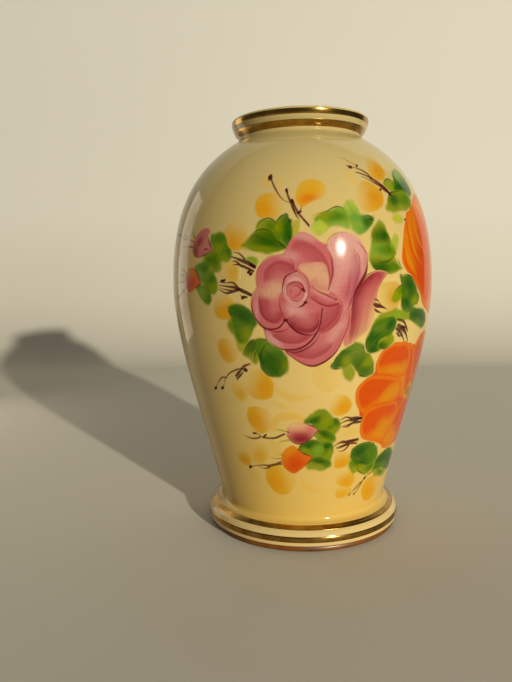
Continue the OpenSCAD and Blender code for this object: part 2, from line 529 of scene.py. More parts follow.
# How far a shell runs past its paint; thin lines lie on the top level and keep close to theirs
TOP_LEVEL = 3
SPREAD = 0.7
TOP_SPREAD = 0.3
# Least cover that counts as paint, and least share of it nearby that the shell keeps
PAINTED = 0.02
SHELL_EDGE = 0.03


def fuse(sheet, name, level=0, shift=(0.0, 0.0), mirror=False):
    """Wraps a painted sheet on the body as a thin shell. A higher level lies over lower ones. The
    sheet may be mirrored about its upright line s = 0, and then shifted."""
    inset = np.minimum(np.minimum(sheet.s - sheet.s.min(), sheet.s.max() - sheet.s),
                       np.minimum(sheet.z - sheet.z.min(), sheet.z.max() - sheet.z))
    sheet.cover = sheet.cover * smooth(0.8, 2.4, inset)
    spread = SPREAD if level < TOP_LEVEL else TOP_SPREAD
    near = blurred((sheet.cover > PAINTED).astype(float), max(1, round(spread / sheet.step)))
    keep = near > SHELL_EDGE
    cells = keep[:-1, :-1] | keep[1:, :-1] | keep[:-1, 1:] | keep[1:, 1:]
    s = shift[0] + (-sheet.s if mirror else sheet.s)
    z = shift[1] + sheet.z
    slope = outside_slope(z)
    out = 1 / np.sqrt(1 + slope ** 2)
    lift = ENAMEL_LIFT * (0.6 + 0.4 * sheet.lift) + LEVEL_LIFT * level
    lift = near * (lift + ENAMEL_SINK) - ENAMEL_SINK

    def surface(offset):
        radius = outside_radius(z) + offset * out
        height = z - offset * slope * out
        angle = s / BELLY_R
        return np.stack([radius * np.sin(angle), -radius * np.cos(angle), height], -1)

    rows, cols = sheet.s.shape
    index = np.arange(rows * cols).reshape(rows, cols)
    i, j = np.where(cells)
    top = np.stack([index[i, j], index[i, j + 1], index[i + 1, j + 1], index[i + 1, j]], 1)
    under = top[:, ::-1] + rows * cols
    framed = np.pad(cells, 1)
    sides = []
    for di, dj, p, q in ((-1, 0, (0, 0), (0, 1)), (0, 1, (0, 1), (1, 1)),
                         (1, 0, (1, 1), (1, 0)), (0, -1, (1, 0), (0, 0))):
        bi, bj = np.where(cells & ~framed[1 + di:1 + di + rows - 1, 1 + dj:1 + dj + cols - 1])
        first = index[bi + p[0], bj + p[1]]
        second = index[bi + q[0], bj + q[1]]
        sides.append(np.stack([second, first, first + rows * cols, second + rows * cols], 1))
    quads = np.concatenate([top, under] + sides)
    if mirror:
        quads = quads[:, ::-1]
    used, quads = np.unique(quads, return_inverse=True)
    quads = quads.reshape(-1, 4)
    points = np.concatenate([surface(lift).reshape(-1, 3),
                             surface(np.full(s.shape, -ENAMEL_ROOT)).reshape(-1, 3)])[used] * MM
    piece = mesh_object(name, points, quads)
    colour = np.tile(sheet.colour.reshape(-1, 3), (2, 1))[used]
    cover = np.tile(sheet.cover.ravel(), 2)[used]
    paint = piece.data.attributes.new("paint", "FLOAT_COLOR", "POINT")
    paint.data.foreach_set("color", np.c_[colour, np.ones(len(colour))].astype(np.float32).ravel())
    amount = piece.data.attributes.new("cover", "FLOAT", "POINT")
    amount.data.foreach_set("value", cover.astype(np.float32))
    piece.data.materials.append(ENAMEL)
    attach(piece, "root")
    return piece


# ---------------------------------------------------------------- materials

def feed(tree, socket, value):
    """Links a socket to another one, or sets its constant value."""
    if isinstance(value, bpy.types.NodeSocket):
        tree.links.new(value, socket)
    else:
        socket.default_value = value


def add(tree, kind, links=(), **values):
    """Adds a shader node. links maps input names or numbers to sockets or constant values, and
    values are the node's own settings."""
    made = tree.nodes.new("ShaderNode" + kind)
    for key, value in values.items():
        setattr(made, key, value)
    for key, value in dict(links).items():
        feed(tree, made.inputs[key], value)
    return made


def blank(name):
    """A new material, its node tree and its shader."""
    material = bpy.data.materials.new(name)
    material.use_nodes = True
    tree = material.node_tree
    return material, tree, tree.nodes["Principled BSDF"]


def mixed(tree, share, first, second, blend="MIX"):
    """Colour mix node's result socket."""
    made = add(tree, "Mix", data_type="RGBA", blend_type=blend)
    for number, value in ((0, share), (6, first), (7, second)):
        feed(tree, made.inputs[number], value)
    return made.outputs[2]


def ranged(tree, value, low, high, to_low=0.0, to_high=1.0):
    """A value mapped from one range to another, clamped at its ends."""
    return add(tree, "MapRange", {0: value, 1: low, 2: high, 3: to_low, 4: to_high}).outputs[0]


def noise(tree, place, scale, detail):
    """The value of a noise texture."""
    return add(tree, "TexNoise", {"Vector": place, "Scale": scale, "Detail": detail}).outputs[0]


def bumped(tree, shader, height, strength, distance):
    """Gives a shader fine relief from a height field."""
    bump = add(tree, "Bump", {"Strength": strength, "Distance": distance, "Height": height})
    tree.links.new(bump.outputs[0], shader.inputs["Normal"])


def ground_colour(tree, place):
    """The cream glaze, faintly clouded, with a few pale and dark specks. It is painted warmer towards
    the foot, a painted reflection of the floor, and darker on the shoulder, painted shade where the
    shoulder faces away from the low light.
    """
    height = add(tree, "SeparateXYZ", {0: place}).outputs[2]
    # Painted reflection: the lower glaze is painted warmer, standing in for warm light reflected from
    # the floor
    colour = mixed(tree, ranged(tree, height, 0.02, 0.11), rgba(GROUND_LOW_FLOOR_REFLECTION), rgba(GROUND_MID))
    # Painted shade: the shoulder is painted darker, where it faces away from the low light
    colour = mixed(tree, ranged(tree, height, 0.15, 0.25), colour, rgba(GROUND_HIGH_SHADED))
    cloud = noise(tree, place, 16.0, 3.0)
    colour = mixed(tree, ranged(tree, cloud, 0.4, 0.75, 0.0, 0.4), colour, rgba(GROUND_DEEP))
    colour = mixed(tree, ranged(tree, height, 0.0155, 0.0162, 1.0, 0.0), colour, rgba(GROUND_FOOT))
    speck = noise(tree, place, 420.0, 1.0)
    return mixed(tree, ranged(tree, speck, 0.76, 0.8, 0.0, 0.35), colour, rgba(GLAZE_SPECK))


def gloss(tree, shader, place, low, high, waves):
    """Glaze gloss with soft variation, and a faint waviness of the melt."""
    haze = noise(tree, place, 30.0, 4.0)
    tree.links.new(ranged(tree, haze, 0.3, 0.7, low, high), shader.inputs["Roughness"])
    wave = noise(tree, place, 55.0, 2.0)
    bumped(tree, shader, wave, waves, 0.001)
    shader.inputs["IOR"].default_value = 1.42


def glaze_material(name):
    """The bare glaze of the collar, the foot and the unpainted body."""
    material, tree, shader = blank(name)
    place = add(tree, "TexCoord").outputs["Object"]
    tree.links.new(ground_colour(tree, place), shader.inputs["Base Color"])
    gloss(tree, shader, place, 0.05, 0.11, 0.06)
    return material


def enamel_material():
    """Painted enamel over the same ground, so that thin paint lets the glaze show."""
    material, tree, shader = blank("painted_enamel")
    place = add(tree, "TexCoord").outputs["Object"]
    paint = add(tree, "Attribute", attribute_name="paint").outputs["Color"]
    cover = add(tree, "Attribute", attribute_name="cover").outputs["Fac"]
    grain = noise(tree, place, 900.0, 2.0)
    grain = ranged(tree, grain, 0.3, 0.7, 0.95, 1.03)
    paint = mixed(tree, 1.0, paint, grain, "MULTIPLY")
    colour = mixed(tree, cover, ground_colour(tree, place), paint)
    tree.links.new(colour, shader.inputs["Base Color"])
    gloss(tree, shader, place, 0.05, 0.12, 0.06)
    shader.inputs["IOR"].default_value = 1.36
    return material


def gold_material():
    """Bright burnished gold, brushed round the vase, with rubbed and duller places."""
    material, tree, shader = blank("bright_gold")
    place = add(tree, "TexCoord").outputs["Object"]
    rub = noise(tree, place, 90.0, 5.0)
    colour = mixed(tree, ranged(tree, rub, 0.35, 0.7), rgba(GOLD_BRIGHT), rgba(GOLD_DULL))
    worn = noise(tree, place, 700.0, 2.0)
    colour = mixed(tree, ranged(tree, worn, 0.72, 0.76, 0.0, 0.8), colour, rgba(GOLD_WORN))
    tree.links.new(colour, shader.inputs["Base Color"])
    tree.links.new(ranged(tree, rub, 0.3, 0.75, 0.1, 0.26), shader.inputs["Roughness"])
    lines = add(tree, "Mapping", {"Vector": place, "Scale": (40.0, 40.0, 2500.0)}).outputs[0]
    brush = noise(tree, lines, 1.0, 2.0)
    bumped(tree, shader, brush, 0.12, 0.0002)
    shader.inputs["Metallic"].default_value = 1.0
    return material


def rim_material():
    """The rim under the foot. Its amber and brown are a painted glow of light shining through its edge,
    and it grows darker towards its bottom edge.
    """
    material, tree, shader = blank("bare_rim")
    place = add(tree, "TexCoord").outputs["Object"]
    # Painted glow: amber and brown patches stand in for light shining through the rim's edge
    patches = noise(tree, place, 60.0, 6.0)
    colour = mixed(tree, ranged(tree, patches, 0.35, 0.7), rgba(RIM_AMBER_GLOW), rgba(RIM_BROWN_GLOW))
    height = add(tree, "SeparateXYZ", {0: place}).outputs[2]
    # Darker towards the bottom edge
    colour = mixed(tree, ranged(tree, height, 0.0, 0.0012, 0.6, 0.0), colour, rgba(RIM_BOTTOM_DARK))
    tree.links.new(colour, shader.inputs["Base Color"])
    tree.links.new(ranged(tree, patches, 0.3, 0.7, 0.3, 0.5), shader.inputs["Roughness"])
    sand = noise(tree, place, 1500.0, 2.0)
    bumped(tree, shader, sand, 0.2, 0.0002)
    return material


def stage_material():
    """Pale matt paper, lighter on the backdrop than on the floor."""
    material, tree, shader = blank("stage")
    place = add(tree, "TexCoord").outputs["Object"]
    cloud = noise(tree, place, 3.0, 4.0)
    floor = mixed(tree, cloud, rgba(FLOOR_GREY), rgba(FLOOR_PALE))
    wall = mixed(tree, cloud, rgba(WALL_GREY), rgba(WALL_PALE))
    height = add(tree, "SeparateXYZ", {0: place}).outputs[2]
    colour = mixed(tree, ranged(tree, height, 0.0, 0.3), floor, wall)
    tree.links.new(colour, shader.inputs["Base Color"])
    shader.inputs["Roughness"].default_value = 0.75
    return material


GLAZE = glaze_material("cream_glaze")
ENAMEL = enamel_material()
GOLD = gold_material()
RIM_GLOW_MATERIAL = rim_material()


# ---------------------------------------------------------------- the turned pieces

def finish_piece(piece, material, node):
    """Gives a turned piece its material, hangs it on the root and hides the CAD node it stands for."""
    piece.data.materials.append(material)
    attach(piece, "root")
    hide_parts(node)


def build_body():
    """The hollow body, closed at the bottom, with its seat for the collar."""
    inner_r = BELLY_R - WALL
    spigot_r, throat_r = 40.4, 39.0
    corner = (55.7, 28)
    inside = joined(
        bezier([(47.5, FLOOR_Z), (53.5, FLOOR_Z), (54.9, 22), corner], 12),
        bezier([corner, (63, 66), (inner_r, 128), (inner_r, BELLY_Z)], 50),
        bezier([(inner_r, BELLY_Z), (inner_r, 220.9), (69.5, 244.4), (40, 260)], 60))
    profile = joined([(AXIS_R, BOTTOM_Z), (20, BOTTOM_Z), (SEAT_R - 0.5, BOTTOM_Z),
                      (SEAT_R, BOTTOM_Z + 0.5), (SEAT_R, FOOT_TOP - 0.1)],
                     OUTSIDE, [(spigot_r, NECK[1]), (spigot_r, SPIGOT_Z), (throat_r, SPIGOT_Z)],
                     inside[::-1], [(20, FLOOR_Z), (AXIS_R, FLOOR_Z)])
    finish_piece(turned("vase_body", profile, around=256), GLAZE, "body")


def build_collar():
    """The spigot, the cove, the bowl, the rounded lip and the throat."""
    spigot_r = 40.3
    lip_c = (LIP_R - LIP_ROUND, HEIGHT - LIP_ROUND)
    cove = bezier([NECK, (42.3, 266.4), (41.7, 267.4), (bowl_radius(COVE_TOP), COVE_TOP)], 14)
    bowl = along_z(bowl_radius, COVE_TOP, lip_c[1] - 0.4, 30)
    lip = arc(lip_c, LIP_ROUND, 0, 90, 10)
    inside = bezier([(44.5, HEIGHT), (42.7, HEIGHT), (THROAT_R, 276), (THROAT_R, THROAT_TOP)], 24)
    profile = joined([(THROAT_R, SPIGOT_Z), (spigot_r, SPIGOT_Z), (spigot_r, NECK[1] + 0.05)],
                     cove, bowl, lip, inside, [(THROAT_R, NECK[1] + 1)])
    finish_piece(turned("rim_collar", profile), GLAZE, "collar")


def build_foot():
    """The moulded foot ring, with its seat for the body and its groove for the rim."""
    slope_z = 14.3
    outside = joined([(float(foot_radius(np.array(RIM_H))) - 0.7, RIM_H)],
                     along_z(foot_radius, RIM_H + 0.5, slope_z, 40),
                     [(64.4, 14.6), (63.2, 15.3), (62.0, FOOT_TOP)])
    profile = joined([(RECESS_R, RIM_H), (GROOVE_R[0], RIM_H), (GROOVE_R[0], GROOVE_TOP),
                      (GROOVE_R[1], GROOVE_TOP), (GROOVE_R[1], RIM_H)],
                     outside, [(SEAT_R, FOOT_TOP), (SEAT_R, BOTTOM_Z), (RECESS_R, BOTTOM_Z)])
    finish_piece(turned("foot_ring", profile), GLAZE, "foot")


def build_rim():
    """The standing rim, with the tongue that keys it into the foot."""
    low, high = RIM_R
    profile = joined([(low, 0.25), (low + 0.3, 0), (high - 0.55, 0), (high - 0.15, 0.2), (high, 0.5),
                      (high + 0.55, RIM_H), (GROOVE_R[1], RIM_H), (GROOVE_R[1], GROOVE_TOP),
                      (GROOVE_R[0], GROOVE_TOP), (GROOVE_R[0], RIM_H), (low, RIM_H)])
    finish_piece(turned("standing_rim", profile), RIM_GLOW_MATERIAL, "foot_rim")


def gold_band(node, line):
    """A thin gold skin on a stretch of outside, tucked in at both edges."""
    thick, tuck, crown_rate = 0.12, 0.03, 8
    line = np.asarray(line, float)
    run = np.gradient(line, axis=0)
    out = np.stack([run[:, 1], -run[:, 0]], 1) / np.hypot(run[:, 0], run[:, 1])[:, None]
    share = np.linspace(0, 1, len(line))
    crown = np.minimum(1, np.minimum(share, 1 - share) * crown_rate) ** 0.5
    outer = line + out * (thick * crown - tuck * (1 - crown))[:, None]
    inner = line - out * 2 * tuck
    profile = joined(outer, inner[::-1])
    piece = turned(node + "_gilding", profile, around=512, wobble=0.09)
    finish_piece(piece, GOLD, node)


def build_gilding():
    """The four gold bands."""
    gold_band("lip_gold_band", along_z(bowl_radius, HEIGHT - 4.7, HEIGHT - 1.3, 24))
    gold_band("neck_gold_band", along_z(bowl_radius, COVE_TOP, COVE_TOP + 3.8, 24))
    gold_band("foot_joint_gold_band",
              np.stack([np.linspace(65.6, 62.1, 20), np.linspace(13.82, 15.95, 20)], 1))
    gold_band("foot_edge_gold_band", along_z(foot_radius, 6.6, 10.5, 24))


# ---------------------------------------------------------------- the painting: the rose

def rose_right(p):
    """The petal that turns away at the right, fading out at its lower edge."""
    petal = p.fill([(27, 134.5), (34, 137), (40, 141.5), (44.5, 147), (46, 156), (47, 165),
                    (50, 171.5), (54, 176.5), (48, 178.3), (42, 176), (36, 170.5), (31, 163),
                    (28, 155), (26.5, 145)], PINK, 0.9, 1.0, fade=((37, 160), (52, 151)))
    p.shade([(54, 177), (46, 176.8), (40, 174.3), (35, 169.5), (31.3, 162), (29.8, 153), (29.6, 144),
             (30, 136)], CRIMSON, 12, petal, 1.0, streak=0.45, ends=0.1)
    p.shade([(46, 176.8), (40, 174.3), (35, 169.5), (31.3, 162), (29.8, 153), (29.6, 146)], DEEP, 6,
            petal, 0.85)
    p.shade([(50, 174), (43.5, 168), (40, 158), (38, 147), (36, 140)], ROSE, 7, petal, 0.6, crisp=1.2,
            streak=0.8)
    p.follow(petal, [(54, 177), (44, 170), (38.5, 160), (36, 148), (34, 136)], PINK, ROSE, 0.22, 14)


def rose_sail(p):
    """The tall upright petal that catches the light."""
    petal = p.fill([(15.5, 190), (17, 194.8), (21, 198.6), (26, 199.9), (31, 198.8), (36, 195),
                    (39, 190), (40.2, 184), (39, 177), (36, 171), (32.5, 165), (29.8, 158),
                    (27.3, 154.5), (24, 158), (19, 163), (15.8, 168), (17.5, 176), (18.5, 183),
                    (17, 188)], PINK_PALE)
    p.blot((27, 164), (8, 15), PINK, petal, 0, 1.0, 0.5)
    p.blot((31.5, 172), (10, 4), PLUM_SOFT, petal, 72, 0.8, 0.6)
    p.shade([(27.5, 157), (32.5, 166), (35, 173), (35.8, 180), (34, 186.5), (30.5, 191)],
            PLUM, 10, petal, 0.95, crisp=1.0, streak=0.7)
    p.shade([(31, 157), (36, 168), (39, 176), (40, 183), (38.5, 189)], ROSE, 3.2, petal, 0.6, crisp=0.8)
    p.shade([(17.5, 187), (18.6, 181), (17.4, 173), (15.8, 167)], ROSE, 4, petal, 0.5, streak=0.7)
    p.follow(petal, [(30, 199), (31, 186), (30, 174), (27, 162), (25, 155)], PINK_PALE, ROSE, 0.22, 14)


def rose_top(p):
    """The petal behind the heart, at the top."""
    petal = p.fill([(-10, 186), (-9, 191), (-6, 196), (-2, 199.5), (2, 200.3), (6, 198.6), (11, 195),
                    (15, 191), (17.3, 186), (18, 179), (16, 170), (8, 172), (0, 178),
                    (-5, 181)], PINK)
    p.blot((2, 198), (9, 2.6), PINK_PALE, petal, -12, 0.7)
    p.blot((-6, 187), (3.4, 5), PINK_PALE, petal, 70, 0.7)
    p.shade([(16.6, 172), (16.4, 181), (13, 188), (8, 192.8), (2, 195.4), (-3.5, 194.8), (-6.5, 190)],
            CRIMSON, 13, petal, 0.85, streak=0.75, ends=0.1)
    p.follow(petal, [(17, 172), (16.6, 181), (13, 188), (8, 193), (2, 195.5), (-4, 194.8)],
             PINK, CRIMSON, 0.17, 8)


def rose_upper_left(p):
    """The cupped petal at the upper left."""
    petal = p.fill([(-9, 188.3), (-16, 187), (-21, 184.5), (-25, 180), (-26, 174), (-25, 168.5),
                    (-18, 163), (-9, 166), (-4, 172), (-1.5, 178), (-4, 184.5)], PINK)
    p.blot((-15, 168), (9, 5), PEACH, petal, 0, 1.0)
    p.blot((-9, 187), (7, 1.6), PINK_PALE, petal, -10, 0.6)
    p.shade([(-2, 177), (-4.6, 181.8), (-9, 184), (-14, 184.3), (-18.5, 182), (-21.3, 178),
             (-21.8, 171)], CRIMSON, 10, petal, 0.88, streak=0.55, ends=0.12)
    p.follow(petal, [(-2, 178), (-9, 184), (-14, 184.3), (-18.5, 182), (-21.3, 178), (-21.8, 171)],
             PINK, CRIMSON, 0.17, 7)


def rose_lower_left(p):
    """The cupped petal at the lower left."""
    petal = p.fill([(-25, 170), (-28, 165), (-29.3, 158), (-28, 152.5), (-24.5, 148), (-19, 145.2),
                    (-13, 146.3), (-8.5, 150.5), (-10.5, 157), (-11.5, 164), (-18, 168.5)], PINK)
    p.blot((-17.5, 166.5), (9, 4), PEACH, petal, 0, 1.0)
    p.blot((-26.5, 156), (1.6, 8), PINK_PALE, petal, 0, 0.6)
    p.shade([(-24, 160), (-23.4, 153.5), (-19, 149.6), (-14, 149), (-11, 152.5)], DEEP, 5,
            petal, 0.6)
    p.shade([(-24.6, 166), (-25, 158), (-23, 152.5), (-19, 149), (-14, 148.5), (-10.5, 151.5),
             (-10, 158)], CRIMSON, 12, petal, 1.0, streak=0.55, ends=0.12)
    p.follow(petal, [(-24.6, 165), (-25, 158), (-23, 152.5), (-19, 149), (-14, 148.5), (-10, 152)],
             PINK, CRIMSON, 0.22, 8)


def rose_behind(p):
    """The shadow between the bowl and the sail."""
    petal = p.fill([(6, 142), (12.5, 142.3), (18, 145), (22.5, 150), (25, 157), (24, 162), (16, 167),
                    (11, 162), (8, 150)], PINK)
    p.shade([(9, 143.2), (14, 144), (19, 147.6), (22.6, 152.6), (24.6, 160)], CRIMSON, 15, petal, 1.0,
            streak=0.6, ends=0.08)
    p.follow(petal, [(9, 143.2), (14, 144), (19, 147.6), (22.6, 152.6), (24.6, 160)], ROSE, CRIMSON,
             0.22, 8)


def rose_skirt(p):
    """The lowest petal."""
    petal = p.fill([(-9.5, 131.5), (-4, 127), (2, 124), (9, 123.2), (15, 125.3), (21, 130),
                    (25.5, 137), (28, 146), (27.5, 156), (24.5, 151), (19, 145), (10, 140),
                    (0, 135)], PINK)
    p.blot((21, 143), (10, 4), PINK_PALE, petal, 55, 0.7)
    p.shade([(-8, 131), (-2, 128.6), (5, 127.6), (11, 128.4), (17, 132), (21, 137)], CRIMSON, 8, petal,
            0.95, streak=0.6)
    p.shade([(13, 126), (19, 130.6), (23.5, 137.5), (26, 146)], ROSE, 4, petal, 0.5, crisp=1.0)
    p.follow(petal, [(-8, 130), (2, 126.4), (11, 127), (20, 133), (26, 145)], PINK, ROSE, 0.17, 10)


def rose_apron(p):
    """The petal between the bowl and the skirt."""
    petal = p.fill([(-22.5, 147), (-21, 141), (-17, 136), (-11, 133), (-4, 132.6), (3, 134.8),
                    (8, 139.5), (11, 146), (12.6, 155), (5, 151), (-5, 147), (-14, 146)], PINK)
    p.blot((-17, 138.6), (8, 2.8), PINK_PALE, petal, -42, 0.9)
    p.shade([(-18.6, 144.5), (-16, 140), (-10, 137), (-2, 136.4), (4, 139), (8, 143.6), (10, 149)],
            CRIMSON, 9, petal, 1.0, streak=0.55)
    p.follow(petal, [(-19, 144), (-15, 139), (-8, 136), (2, 137), (9, 144)], PINK, CRIMSON, 0.17, 8)


def rose_bowl(p):
    """The round petal that holds the heart."""
    petal = p.fill([(-12, 165), (-11.8, 157), (-9, 150.6), (-5, 145.8), (0, 142.6), (6, 142),
                    (10.5, 146), (12.5, 152), (12.6, 157), (10, 162), (6, 168), (0, 166),
                    (-6, 168)], PINK)
    p.blot((-4, 156), (8, 4), PINK_PALE, petal, -15, 0.8)
    p.shade([(-10, 152.5), (-7, 148), (-2.5, 144.3), (3, 142.8), (7.5, 143.8), (10.8, 148.5),
             (12.3, 156)], CRIMSON, 11, petal, 1.0, streak=0.75, ends=0.1)
    p.shade([(-11.5, 164), (-11, 157), (-9, 152)], ROSE, 5, petal, 0.7)
    p.shade([(-8, 149), (-2.5, 144.3), (3, 142.8), (7.5, 143.8), (10.6, 148)], DEEP, 5, petal, 0.9)


def rose_fold(p):
    """The narrow rolled edge right of the heart."""
    petal = p.fill([(6.5, 171), (10, 167.5), (15, 165), (21.3, 162.8), (22.3, 160), (16, 158.4),
                    (10, 160.3), (5, 164)], PINK)
    p.blot((12, 165), (8, 1.2), PINK_PALE, petal, -22, 0.6)
    p.shade([(5.4, 164), (10, 160.4), (16, 158.6), (22, 160)], CRIMSON, 3.4, petal, 0.7)


def rose_centre(p):
    """The pale inside between the heart and the top petal."""
    petal = p.fill([(-1, 180), (2, 182.7), (8, 183.8), (14, 182.3), (15.6, 176), (15.8, 170),
                    (16.3, 165.5), (10, 167), (6, 170.5), (4, 175)], PEACH)
    p.shade([(4.5, 172.5), (9, 168.2), (15.8, 165.6)], PINK, 8, petal, 0.9, streak=0.6)
    p.shade([(15.6, 176), (14, 182.3), (8, 183.6), (1, 182)], PINK, 4, petal, 0.5)


def rose_heart(p):
    """The closed heart of the rose."""
    petal = p.fill([(-9.9, 168), (-8.6, 174), (-4, 177.7), (0, 176.7), (3.6, 172.6), (4.7, 167.5),
                    (3.2, 162), (-1, 158.8), (-6, 159.8), (-9, 163.5)], PINK_PALE)
    p.shade([(4.5, 164), (4.2, 170), (0.6, 175.6), (-4, 177), (-8.3, 173.5), (-9.6, 167)],
            ROSE, 3.4, petal, 0.9)
    p.shade([(-9.4, 168), (-8.6, 163.6), (-5.6, 160), (-1, 159), (3, 162)], ROSE, 2.4, petal, 0.6)
    whorl = p.fill([(-7.6, 166), (-7, 170.5), (-4, 172.3), (0, 171.5), (2.2, 168), (1.6, 163.5),
                    (-2, 160.7), (-5.6, 162.3)], PINK)
    p.shade([(2, 165), (1.6, 169), (-1.6, 171.8), (-5.4, 171.4), (-7.4, 167.6)], CRIMSON, 2.4,
            whorl, 0.8)
    p.blot((-4.6, 169.4), (2, 1.0), PINK_PALE, whorl, 20, 0.6)
    p.shade([(-5.6, 163), (-3, 163), (-0.6, 165), (0.4, 168)], ROSE, 2, whorl, 0.8)


def rose_seams(p):
    """The dark lines that close the petals."""
    for path, colour, width, start, end, strength in (
            ([(40.3, 188), (40.2, 181.5), (38.4, 176), (35.5, 171), (32.5, 166), (30.8, 160),
              (29.8, 155)], BURGUNDY, 1.9, 0.12, 0.25, 0.95),
            ([(15.8, 190.5), (18, 185), (18.3, 178), (17, 172), (15.7, 167)], CRIMSON, 1.3, 0.3,
             0.6, 0.9),
            ([(14, 191), (16.8, 196), (21, 199.2), (27, 200)], ROSE, 0.55, 0.5, 0.2, 0.9),
            ([(33, 195), (37, 191.8), (39.6, 187)], CRIMSON, 0.55, 0.2, 0.8, 0.9),
            ([(31, 191), (34, 187.5), (36, 181)], CRIMSON, 0.5, 0.3, 0.2, 0.8),
            ([(-9.5, 188.3), (-18, 186.8), (-23, 182.8), (-26.2, 176), (-25.2, 169)],
             CRIMSON, 0.55, 0.3, 0.5, 0.7),
            ([(-8.5, 190), (-6, 196), (-2, 199.8), (3, 200.2)], ROSE, 0.55, 0.3, 0.2, 0.5),
            ([(-28, 167), (-29.4, 159), (-28.3, 152.6), (-24.8, 147.8), (-19.5, 145.2), (-13.5, 146),
              (-8.3, 150.7)], BURGUNDY, 1.25, 0.25, 0.8, 1),
            ([(-22, 145.3), (-15, 143.6), (-9, 144.4), (-6, 146.4)], CRIMSON, 1.0, 0.3, 0.2, 0.85),
            ([(-9.3, 151.2), (-5, 145.8), (0, 142.6), (6, 141.8), (9, 143.2)], BURGUNDY, 1.15, 0.7,
             0.3, 1),
            ([(-11.9, 164), (-11.8, 158), (-9.3, 151)], CRIMSON, 0.8, 0.2, 0.8, 0.9),
            ([(-22, 145.5), (-20.4, 138.8), (-15, 134.6), (-9, 132.6), (-2, 133), (4, 136.2),
              (8.7, 142), (11.7, 149), (12.8, 157)], BURGUNDY, 1.15, 0.2, 0.75, 1),
            ([(-9, 131.8), (-3, 131), (3, 133.2), (8, 137.2), (12, 143.6)], BURGUNDY, 0.9, 0.7, 0.2,
             0.9),
            ([(7, 143.6), (9.5, 147), (10.7, 150.5)], BURGUNDY, 1.0, 0.3, 0.4, 0.9),
            ([(-8.8, 131.2), (-3, 126.8), (2.5, 123.9), (9, 123.2), (15, 125.4), (20.5, 129.8),
              (24.2, 135), (26.5, 141)], BURGUNDY, 1.3, 0.25, 0.2, 1),
            ([(24, 134), (26.6, 141), (28.2, 148), (28.2, 155), (27.2, 157)], CRIMSON, 0.7, 0.5,
             0.3, 0.8),
            ([(25, 159), (22.5, 151), (18, 145.6), (12.5, 142.4)], CRIMSON, 0.8, 0.2, 0.7, 0.85),
            ([(6.6, 170), (10, 166.6), (15, 164.3), (21, 162)], CRIMSON, 0.8, 0.4, 1, 0.9),
            ([(5.6, 163.3), (10, 160.3), (16, 158.4), (22, 159.7)], CRIMSON, 1.0, 0.4, 1.2, 0.95),
            ([(30.8, 164), (29, 159), (27.5, 155.8)], CRIMSON, 1.0, 0.4, 0.5, 0.9),
            ([(-9.8, 165.5), (-9.9, 169), (-9, 173.5), (-7, 176), (-2, 178.6)], BURGUNDY, 1.1, 0.3,
             0.5, 0.95),
            ([(-3, 178.2), (1.8, 175.4), (4.6, 170.4), (4.6, 165), (2.8, 160.5)],
             CRIMSON, 0.7, 0.5, 0.9, 0.8),
            ([(-3, 176.5), (-4.5, 182), (-6, 186)], CRIMSON, 0.6, 0.2, 0.2, 0.7),
            ([(-7.6, 165), (-7.3, 170), (-4, 172.4), (0, 171.5), (1.8, 168)], CRIMSON, 0.7, 0.3,
             0.8, 0.9),
            ([(1.6, 163.5), (-1.5, 160.8), (-5.2, 162), (-7.4, 165)], CRIMSON, 0.6, 0.3, 0.4, 0.85),
            ([(-5.5, 165.5), (-5, 169), (-2.5, 170), (-0.2, 168), (-0.8, 165.3), (-3.2, 164.6)],
             CRIMSON, 0.6, 0.4, 0.3, 0.9),
            ([(0.8, 168), (2.2, 166.6)], BURGUNDY, 1.7, 0.8, 0.7, 1),
            ([(-1.8, 157.3), (0.6, 158.1), (2.9, 160.4)], BURGUNDY, 1.1, 0.3, 1.2, 1),
            ([(2.4, 160.2), (3.2, 160.2)], BURGUNDY, 1.9, 0.9, 0.8, 1),
            ([(-9.6, 150.4), (-8, 150.2)], BURGUNDY, 2.0, 0.8, 0.8, 1),
            ([(20.2, 162.2), (21, 162)], CRIMSON, 1.2, 0.8, 0.8, 1),
            ([(-0.5, 180), (4, 183), (10, 183.8), (14, 182)], ROSE, 0.55, 0.3, 0.2, 0.8),
            ([(46, 178), (40, 175.4), (35.5, 170.5)], BURGUNDY, 0.8, 0.2, 0.9, 0.8),
            ([(54, 176.6), (50, 171), (47.3, 165), (45.5, 157)], ROSE, 0.6, 0.3, 0.2, 0.5)):
        p.line(path, colour, width, start, end, strength)


def rose_base(p):
    """The pink ground that the petals lie on."""
    p.fill([(-9, 189), (-6, 196), (0, 200), (6, 199), (12, 194.5), (17, 193.5), (24, 199), (31, 198),
            (36, 195), (39, 189), (39.5, 181), (34, 168), (29, 157), (27.5, 146), (25.5, 137.5),
            (21, 130.5), (15, 125.6), (9, 123.6), (2, 124.4), (-4, 127.4), (-9.5, 132), (-16, 136),
            (-21, 141), (-22, 146), (-27, 151), (-29, 158), (-27.6, 165), (-25, 170), (-25.6, 176),
            (-23.6, 181.5), (-17, 186.5)], PINK, 0.6)


# ---------------------------------------------------------------- leaves, buds, dabs and twigs

def leaf(p, outline, base=LEAF, dabs=(), edges=()):
    """One brush-pressed leaf lobe: a base green, soft dabs of other greens and dark edge lines.
    A dab is (centre, radii, tilt, colour)."""
    p.fill(outline, LEAF_YELLOW, 1.9, 0.7, streak=0.35, ragged=1.6)
    mask = p.fill(outline, base, 0.9, 0.97, streak=0.3, ragged=1.1)
    for centre, radii, tilt, colour in dabs:
        size = 1.4 if colour is LEAF_DARK else 1.15
        p.blot(centre, (radii[0] * size, radii[1] * size), colour, mask, tilt, 1.0, 0.2)
    if p.root is not None:
        p.fan(mask, p.root, LEAF_YELLOW, LEAF_DARK, 0.14)
    for edge in edges:
        p.line(edge, LEAF_DARK * 0.3, 0.75, 0.25, 0.25, 0.9)


